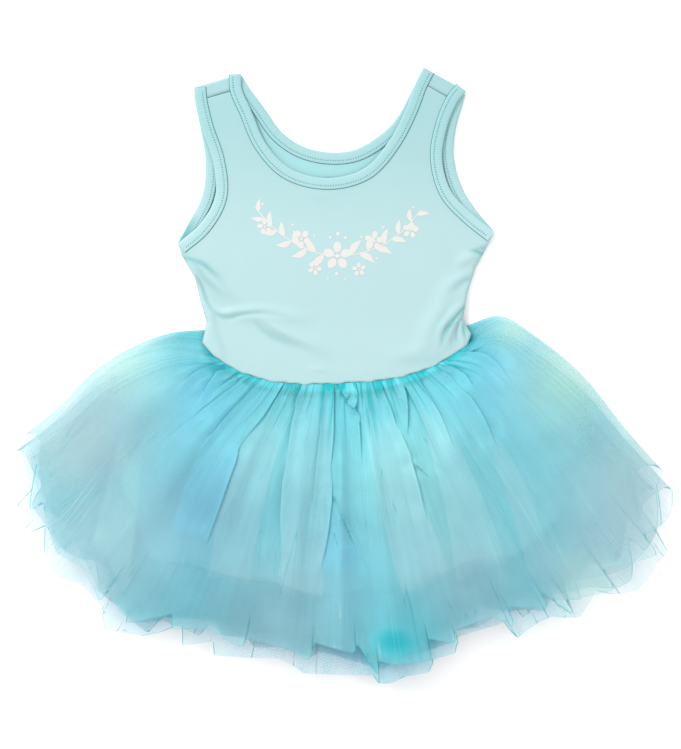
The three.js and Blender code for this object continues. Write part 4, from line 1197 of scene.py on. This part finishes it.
def stitch_rows():
    """The lines that the machine stitches follow, each a run of points in millimetres."""
    lines = []
    width = bodice_sizes().band_width / MM
    for _, _, rows, turn, on_front, _ in BINDINGS:
        line = edge_line(rows, STITCH_STEP)
        p = line + inward(line, turn) * (STITCH_DEPTH * width)
        to_ends = np.minimum(*[np.linalg.norm(line - line[end], axis=1) for end in (0, -1)])
        p = p[to_ends > STITCH_START]
        lines.append(np.column_stack([p, binding_base(p[:, 0], p[:, 1], on_front) + STITCH_Z]))
    tape = edge_line(NECK_TAPE, STITCH_STEP)
    lines.append(np.column_stack([tape, np.full(len(tape), TAPE_Z)]))
    return lines


def stitch_tree():
    """Geometry Nodes that lay short stitches along lines, slanted by turns."""
    tree = bpy.data.node_groups.new("Machine stitches", "GeometryNodeTree")
    sizes = [(name, "Float") for name in ("Pitch", "Stitch length", "Stitch width", "Slant")]
    for name, kind in (("Lines", "Geometry"), *sizes, ("Thread", "Material")):
        tree.interface.new_socket(name=name, in_out="INPUT", socket_type=f"NodeSocket{kind}")
    tree.interface.new_socket(name="Stitches", in_out="OUTPUT", socket_type="NodeSocketGeometry")
    nodes = Nodes(tree)

    def made(kind, inputs=None, **values):
        return nodes.add(kind, inputs, **values).outputs[0]

    given = nodes.add("NodeGroupInput").outputs
    curve = made("GeometryNodeMeshToCurve", {"Mesh": given["Lines"]})
    points = made("GeometryNodeResampleCurve", {"Curve": curve, "Length": given["Pitch"]}, mode="LENGTH")
    facing = made("FunctionNodeAlignRotationToVector", {"Vector": made("GeometryNodeInputTangent")}, axis="X")
    by_turns = nodes.math("MODULO", made("GeometryNodeInputIndex"), 2)
    swing = made("ShaderNodeMath", {0: by_turns, 1: 2, 2: -1}, operation="MULTIPLY_ADD")
    spin = made("ShaderNodeCombineXYZ", {"Z": nodes.math("MULTIPLY", swing, given["Slant"])})
    slant = made("FunctionNodeEulerToRotation", {"Euler": spin})
    turn = {"Rotation": facing, "Rotate By": slant}
    slanted = made("FunctionNodeRotateRotation", turn, rotation_space="LOCAL")
    width = given["Stitch width"]
    size = made("ShaderNodeCombineXYZ", {"X": given["Stitch length"], "Y": width, "Z": width})
    bead = nodes.add("GeometryNodeMeshUVSphere", {"Segments": 6, "Rings": 5, "Radius": 0.5}).outputs["Mesh"]
    stitch = made("GeometryNodeTransform", {"Geometry": bead, "Scale": size})
    laid = made("GeometryNodeInstanceOnPoints", {"Points": points, "Instance": stitch, "Rotation": slanted})
    real = made("GeometryNodeRealizeInstances", {"Geometry": laid})
    painted = made("GeometryNodeSetMaterial", {"Geometry": real, "Material": given["Thread"]})
    nodes.add("NodeGroupOutput", {"Stitches": painted})
    return tree


def build_stitches():
    sizes = bodice_sizes()
    points, edges = [], []
    for line in stitch_rows():
        start = len(points)
        points += (line * MM).tolist()
        edges += [(k, k + 1) for k in range(start, len(points) - 1)]
    mesh = bpy.data.meshes.new("stitch_lines")
    mesh.from_pydata(points, edges, [])
    guide = bpy.data.objects.new("stitch_lines", mesh)
    bpy.context.scene.collection.objects.link(guide)
    tree = stitch_tree()
    modifier = guide.modifiers.new("Stitches", "NODES")
    modifier.node_group = tree
    values = {
        "Pitch": sizes.stitch_pitch,
        "Stitch length": sizes.stitch_length,
        "Stitch width": sizes.stitch_width,
        "Slant": math.radians(STITCH_SLANT),
        "Thread": plain_material("Thread", colours().thread, 0.5),
    }
    for item in tree.interface.items_tree:
        if item.item_type == "SOCKET" and item.name in values:
            modifier[item.identifier] = values[item.name]
    graph = bpy.context.evaluated_depsgraph_get()
    solid = bpy.data.meshes.new_from_object(guide.evaluated_get(graph))
    bpy.data.objects.remove(guide)
    if not solid.polygons:
        raise RuntimeError("the stitches came out empty")
    solid.name = "machine_stitches"
    obj = bpy.data.objects.new("machine_stitches", solid)
    bpy.context.scene.collection.objects.link(obj)
    declare(obj, [])
    remember("stitches", obj)


# The chest print: a garland of leaves, flowers and dots
def turned(shape, angle, x, y):
    c, s = math.cos(angle), math.sin(angle)
    return shape @ np.array([[c, s], [-s, c]]) + [x, y]


def ring(count):
    """Points on a circle of radius 1."""
    t = np.linspace(0, 2 * math.pi, count + 1)[:-1]
    return np.column_stack([np.cos(t), np.sin(t)])


def leaf(x, y, angle, length, width):
    """A leaf as an outline that starts at its stalk."""
    t = np.linspace(0, 1, 9)
    half = width * np.sin(math.pi * t**0.8) * (1 - 0.25 * t)
    bend = 0.10 * length * np.sin(math.pi * t)
    upper = np.column_stack([t * length, half + bend])
    lower = np.column_stack([t[::-1] * length, -half[::-1] + bend[::-1]])[1:-1]
    return turned(np.vstack([upper, lower]), angle, x, y)


def flower(x, y, radius, turn):
    """Five petals and a round middle."""
    petal = np.array([0.38 * radius, 0.30 * radius]) * ring(14) + [0.62 * radius, 0]
    petals = [turned(petal, turn + k * 2 * math.pi / 5, x, y) for k in range(5)]
    return [*petals, ring(12) * radius * 0.15 + [x, y]]


def print_shapes():
    """Outlines of everything in the print."""
    arc = resample(on_spline(PRINT_ARC, np.linspace(0, len(PRINT_ARC) - 1, 200)), 1.0)
    normal = inward(arc, 1)
    run = np.gradient(arc, axis=0)
    heading = np.arctan2(run[:, 1], run[:, 0])
    count = len(arc)
    middle = count // 2
    stem = normal[2:-2] * PRINT_STEM
    shapes = [np.vstack([arc[2:-2] + stem, (arc[2:-2] - stem)[::-1]])]
    for k in range(LEAF_EVERY, count - 6, LEAF_EVERY):
        side = 1 if (k // LEAF_EVERY) % 2 else -1
        out = 1 if k > middle else -1
        angle = heading[k] + (0 if out > 0 else math.pi) + side * out * LEAF_ANGLE
        from_middle = abs(k - middle) / middle
        length = mix(*LEAF_LENGTHS, from_middle)
        if from_middle > LEAF_GAP:
            shapes.append(leaf(*(arc[k] + normal[k] * side * LEAF_START), angle, length, length * LEAF_WIDTH))

    def at(share, lift):
        k = min(count - 1, int(share * count))
        return arc[k] + normal[k] * lift

    for share, lift, radius, turn in PRINT_FLOWERS:
        shapes += flower(*at(share, lift), radius, turn)
    for share, lift, radius in PRINT_DOTS:
        shapes.append(ring(12) * radius + at(share, lift))
    return shapes


def build_print():
    sizes = bodice_sizes()
    lift = sizes.print_lift / MM + sizes.cloth / MM / 2
    points, faces = [], []
    for layer, shape in enumerate(print_shapes()):
        outline = [Vector(p) for p in shape.tolist()]
        verts, _, tris, *_ = delaunay_2d_cdt(outline, [], [list(range(len(outline)))], 1, 1e-5)
        flat = np.array([tuple(v) for v in verts])
        start = len(points)
        z = front_middle(flat[:, 0], flat[:, 1]) + lift + 0.001 * layer
        points += np.column_stack([flat, z]).tolist()
        for a, b, c in tris:
            turn = np.cross(flat[b] - flat[a], flat[c] - flat[a])
            faces.append([v + start for v in ((a, b, c) if turn > 0 else (a, c, b))])
    obj = make_object("chest_print", points, faces, [print_material()])
    face_up(obj)
    declare(obj, [])
    remember("front_trim", obj)


def print_material():
    """Off-white ink with a faint shift between rose and green."""
    material, nodes = new_material("Print ink", 0.42, 0.5)
    paint = colours()
    drift = nodes.noise(nodes.place(), scale=45, detail=2)
    shift = nodes.blend(drift, rgba(paint.ink_rose), rgba(paint.ink_green))
    nodes.put(nodes.shader, {"Base Color": nodes.blend(0.45, rgba(paint.ink), shift)})
    return material


def build_lining():
    points, *_ = tier_points(TIERS["lining"])
    material = jersey_material("Lining jersey", colours().lining)
    obj = make_object("skirt_lining_cloth", points.reshape(-1, 3), grid_faces(*points.shape[:2]), [material])
    face_up(obj)
    thicken(obj, skirt_sizes().lining)
    declare(obj, ["skirt_lining"])
    remember("lining", obj)


def patch_weight(x, y, name):
    total = np.zeros_like(x)
    for px, py, reach, colour_name, strength in PATCHES:
        if colour_name == name:
            total = np.maximum(total, strength * np.exp(-(((x - px) ** 2 + (y - py) ** 2) / reach**2)))
    return total


def panel_weight(left0, right0, r0, left1, right1, r1, s, r):
    """1 inside one folded panel of the outer net, with soft ends and sharp sides."""
    down = np.clip((r - r0) / (r1 - r0), 0, 1)
    left, right = mix(left0, left1, down), mix(right0, right1, down)
    within = smooth(-PANEL_EDGE, PANEL_EDGE, s - left) * smooth(-PANEL_EDGE, PANEL_EDGE, right - s)
    return within * smooth(r0 - 0.01, r0 + 0.12, r) * smooth(r1 + 0.015, r1 - 0.005, r)


def drawn_gathers(s, r):
    """The darker lines that the gathers draw below the seam, and the painted shadows in the small vees
    between them.
    """
    lines = (0.5 + 0.5 * np.sin(170 * s + 9 * np.sin(11 * s) + 4 * np.sin(29 * s + 2))) ** 5
    reach = 0.16 + 0.12 * np.sin(41 * s + 1.3 * np.sin(19 * s))
    between = np.abs((6.5 * s + 0.8 * np.sin(5 * s) + 0.5 * np.sin(17 * s)) % 1 - 0.5)
    vee_shadows = smooth(0.02, -0.02, between - 0.2 * (1 - r / (0.035 + 0.03 * np.sin(13 * s + 1))))
    return np.maximum(0.8 * lines * smooth(reach, 0.2 * reach, r), 0.75 * vee_shadows)


def bunched(x, y):
    """The bunch of net near the hem, and its paler side."""
    x0, y0, width, depth = BUNCH
    core = np.exp(-((((x - x0) / width) ** 2 + ((y - y0) / depth) ** 2) ** 1.3))
    x1, y1, radius = BUNCH_HALO
    return np.maximum(core, 0.5 * np.exp(-((np.hypot(x - x1, y - y1) / radius) ** 2)))


def uneven_wave(s, count, sway, sway_count, phase):
    """An uneven wave round the skirt, 0 to 1."""
    return 0.5 + 0.5 * np.sin(count * s + sway * np.sin(sway_count * s + phase))


def build_tulle(key, base_colour, node):
    tier = TIERS[key]
    points, s, r, on_front, across = tier_points(tier)
    x, y, at_side = points[..., 0], points[..., 1], np.abs(s)
    none = np.zeros_like(s)

    # Where the net turns over, shows from the back, is sewn in, lies double, is drawn up with painted shadow
    # between the gathers, and is bunched
    times, turned_over = gathered(points, r, tier["cut"])
    turned_over = turned_over * on_front * smooth(0.985, 0.95, at_side)
    lower_back = smooth(0.5, 0.68, r) * smooth(1.0, 0.86, r) * smooth(0.75, 0.45, at_side) * ~on_front
    seam = smooth(0.07, 0.01, r)
    panels = PANELS if key == "outer" else ()
    panels = [(*row[6:], panel_weight(*row[:6], s, r) * on_front) for row in panels]
    drawn = drawn_gathers(s, r) * on_front if key == "outer" else none
    bunch = bunched(x, y) * on_front if key != "inner" else none

    # How much of the light it stops
    thin = skirt_sizes().closeness * np.where(on_front, 1, BACK_CLOSER) * (1 + 1.6 * lower_back)
    times = mix(blurred(times, TIMES_BLUR), times, TIMES_KEPT)
    for _, _, more, weight in panels:
        times = times * mix(1, more, weight)
    times = times * (1 + 0.5 * smooth(0.7, 1.0, at_side) * smooth(0.7, 0.3, r))
    closeness = 1 - (1 - thin) ** np.clip(times, *TIMES_RANGE)
    closeness = closeness + (TURNED_CLOSE - closeness) * turned_over
    ragged = RAGGED * uneven_wave(s, 61, 2.3, 23, tier["phase"])
    closeness = closeness * (1 - ragged * smooth(0.84, 1.0, r))
    if key != "outer":
        closeness = closeness * (1 - 0.25 * smooth(0.86, 1.0, at_side) * smooth(0.75, 0.45, r))
        closeness = closeness * (1 - 0.16 * smooth(0.7, 1.0, r) * smooth(0.4, 0.75, at_side))
    closeness = np.maximum(closeness, SEWN_CLOSE * seam * on_front)
    closeness = np.maximum(closeness, DRAWN_CLOSE * drawn)
    closeness = closeness + (BUNCHED_CLOSE - closeness) * bunch

    # Its colour: one after the other, each so far towards one of the dress's colours
    wander = uneven_wave(s, 37, 2.1, 17, tier["phase"])
    steps = [(name, patch_weight(x, y, name)) for name in ("sky", "mint", "lavender", "deep", "teal")]
    steps.append(("deep", 0.9 * lower_back))
    steps += [(name, strength * weight) for name, strength, _, weight in panels]
    steps += [
        ("fringe", 0.3 * smooth(0.82, 1.0, r)), ("vivid", 0.3 * smooth(0.4, 0.03, r)),
        ("teal", seam * (0.25 + 0.6 * wander)), ("teal", drawn), ("teal", turned_over), ("bunch", bunch),
    ]
    tint = np.array(base_colour, float)
    for name, weight in steps:
        tint = mix(tint, np.array(getattr(colours(), name), float), weight[..., None])

    # Where no lining lies behind it, for the material
    hem = np.array(HEM_LINING, float)
    lining_reach = np.interp(across / TIERS["lining"]["hem_spread"], hem[:, 0], hem[:, 1])
    to_hem, steep = hem_distance(points)
    values = {
        "closeness": closeness, "below": (r - lining_reach) * SKIRT_LENGTH,
        "unlined": smooth(1.0, 0.86, r) * smooth(0.66, 0.42, np.abs(across)) * on_front,
        "to_hem": to_hem, "steep": steep,
    }

    _, hem_cut, depth = tier["cut"]
    run = np.broadcast_to(np.linspace(0, hem_cut, s.shape[1]), s.shape)
    uv = np.stack([run, r * depth], axis=-1).reshape(-1, 2)
    material = tulle_material(f"Tulle {key}", tier["unlined"])
    obj = make_object(f"tulle_{key}_net", points.reshape(-1, 3), grid_faces(*s.shape), [material], uv)
    face_up(obj)
    set_point_colours(obj, "tint", tint.reshape(-1, 3))
    for name, field in values.items():
        set_point_values(obj, name, field)
    declare(obj, [node])
    remember("tulle", obj)


def build_stage():
    scene = bpy.context.scene
    half = FLOOR_SIDE / 2 / MM
    corners = [(x, y, FLOOR_Z) for x, y in ((-half, -half), (half, -half), (half, half), (-half, half))]
    floor_material, nodes = new_material("Floor", 0.9, 0.1)
    nodes.put(nodes.shader, {"Base Color": FLOOR_COLOUR})
    floor = make_object("floor", corners, [(0, 1, 2, 3)], [floor_material], smooth_faces=False)
    world = bpy.data.worlds.new("Studio")
    scene.world = world
    world.use_nodes = True
    background = world.node_tree.nodes["Background"]
    background.inputs["Color"].default_value = (1, 1, 1, 1)
    background.inputs["Strength"].default_value = STUDIO_LIGHT
    for name, place, size, power in LAMPS:
        light = bpy.data.lights.new(name, "AREA")
        light.shape = "DISK"
        light.size = size
        light.energy = power
        lamp = bpy.data.objects.new(name, light)
        lamp.location = place
        lamp.rotation_euler = (-Vector(place)).to_track_quat("-Z", "Y").to_euler()
        scene.collection.objects.link(lamp)
    camera_data = bpy.data.cameras.new("Camera")
    camera_data.sensor_fit = "VERTICAL"
    camera_data.sensor_height = SENSOR
    camera_data.lens = SENSOR * (CAMERA_PLACE[2] - CLOTH_Z) / SEEN_DEPTH
    camera_data.clip_end = CAMERA_SEES
    camera = bpy.data.objects.new("Camera", camera_data)
    camera.location = CAMERA_PLACE
    scene.collection.objects.link(camera)
    scene.camera = camera
    scene.view_settings.view_transform = "Standard"
    scene.cycles.transparent_max_bounces = NETS_SEEN_THROUGH


# Operators
class DRESS_OT_bodice(bpy.types.Operator):
    """Makes the bodice's front and back panels."""

    bl_idname = "dress.bodice"
    bl_label = "Bodice panels"

    def execute(self, context):
        build_back()
        build_front()
        return {"FINISHED"}


class DRESS_OT_bindings(bpy.types.Operator):
    """Makes the bound edges of the neck and the armholes."""

    bl_idname = "dress.bindings"
    bl_label = "Bound edges"

    def execute(self, context):
        for row in BINDINGS:
            build_binding(*row)
        return {"FINISHED"}


class DRESS_OT_stitches(bpy.types.Operator):
    """Lays the machine stitches on the bound edges and on the tape inside the neck."""

    bl_idname = "dress.stitches"
    bl_label = "Machine stitches"

    def execute(self, context):
        build_stitches()
        return {"FINISHED"}


class DRESS_OT_print(bpy.types.Operator):
    """Lays the garland print on the chest."""

    bl_idname = "dress.chest_print"
    bl_label = "Chest print"

    def execute(self, context):
        build_print()
        return {"FINISHED"}


class DRESS_OT_lining(bpy.types.Operator):
    """Makes the short lining of the skirt."""

    bl_idname = "dress.lining"
    bl_label = "Skirt lining"

    def execute(self, context):
        build_lining()
        return {"FINISHED"}


class DRESS_OT_tulle(bpy.types.Operator):
    """Makes the three gathered tiers of tulle."""

    bl_idname = "dress.tulle"
    bl_label = "Tulle tiers"

    def execute(self, context):
        paint = colours()
        build_tulle("inner", tuple(paint.lavender), "tulle_inner")
        build_tulle("middle", tuple(paint.sky), "tulle_middle")
        build_tulle("outer", tuple(paint.aqua), "tulle_outer")
        return {"FINISHED"}


class DRESS_OT_declare(bpy.types.Operator):
    """Does nothing; no cloth piece's cut is stated here."""

    bl_idname = "dress.declare_cloth"
    bl_label = "State the cloth"

    def execute(self, context):
        return {"FINISHED"}


class DRESS_OT_stage(bpy.types.Operator):
    """Makes the floor, the light and the camera."""

    bl_idname = "dress.stage"
    bl_label = "Stage"

    def execute(self, context):
        build_stage()
        return {"FINISHED"}


class DRESS_PT_panel(bpy.types.Panel):
    """Lists the dress's sizes, colours and steps."""

    bl_label = "Ballet dress"
    bl_idname = "DRESS_PT_panel"
    bl_space_type = "VIEW_3D"
    bl_region_type = "UI"
    bl_category = "Dress"

    def draw(self, context):
        for group in (context.scene.dress_bodice, context.scene.dress_skirt, context.scene.dress_colours):
            box = self.layout.box()
            for name in group.__annotations__:
                box.prop(group, name)
        for operator in OPERATORS:
            self.layout.operator(operator.bl_idname)


GROUPS = (BodiceSizes, SkirtSizes, DressColours)
OPERATORS = (
    DRESS_OT_bodice, DRESS_OT_bindings, DRESS_OT_stitches, DRESS_OT_print, DRESS_OT_lining, DRESS_OT_tulle,
    DRESS_OT_declare, DRESS_OT_stage,
)


def register():
    for item in (*GROUPS, *OPERATORS, DRESS_PT_panel):
        bpy.utils.register_class(item)
    bpy.types.Scene.dress_bodice = bpy.props.PointerProperty(type=BodiceSizes)
    bpy.types.Scene.dress_skirt = bpy.props.PointerProperty(type=SkirtSizes)
    bpy.types.Scene.dress_colours = bpy.props.PointerProperty(type=DressColours)


def unregister():
    del bpy.types.Scene.dress_bodice
    del bpy.types.Scene.dress_skirt
    del bpy.types.Scene.dress_colours
    for item in (DRESS_PT_panel, *reversed(OPERATORS), *reversed(GROUPS)):
        bpy.utils.unregister_class(item)


def main():
    register()
    bpy.ops.dress.bodice()
    bpy.ops.dress.bindings()
    bpy.ops.dress.stitches()
    bpy.ops.dress.chest_print()
    bpy.ops.dress.lining()
    bpy.ops.dress.tulle()
    bpy.ops.dress.declare_cloth()
    bpy.ops.dress.stage()


if __name__ == "__main__":
    main()
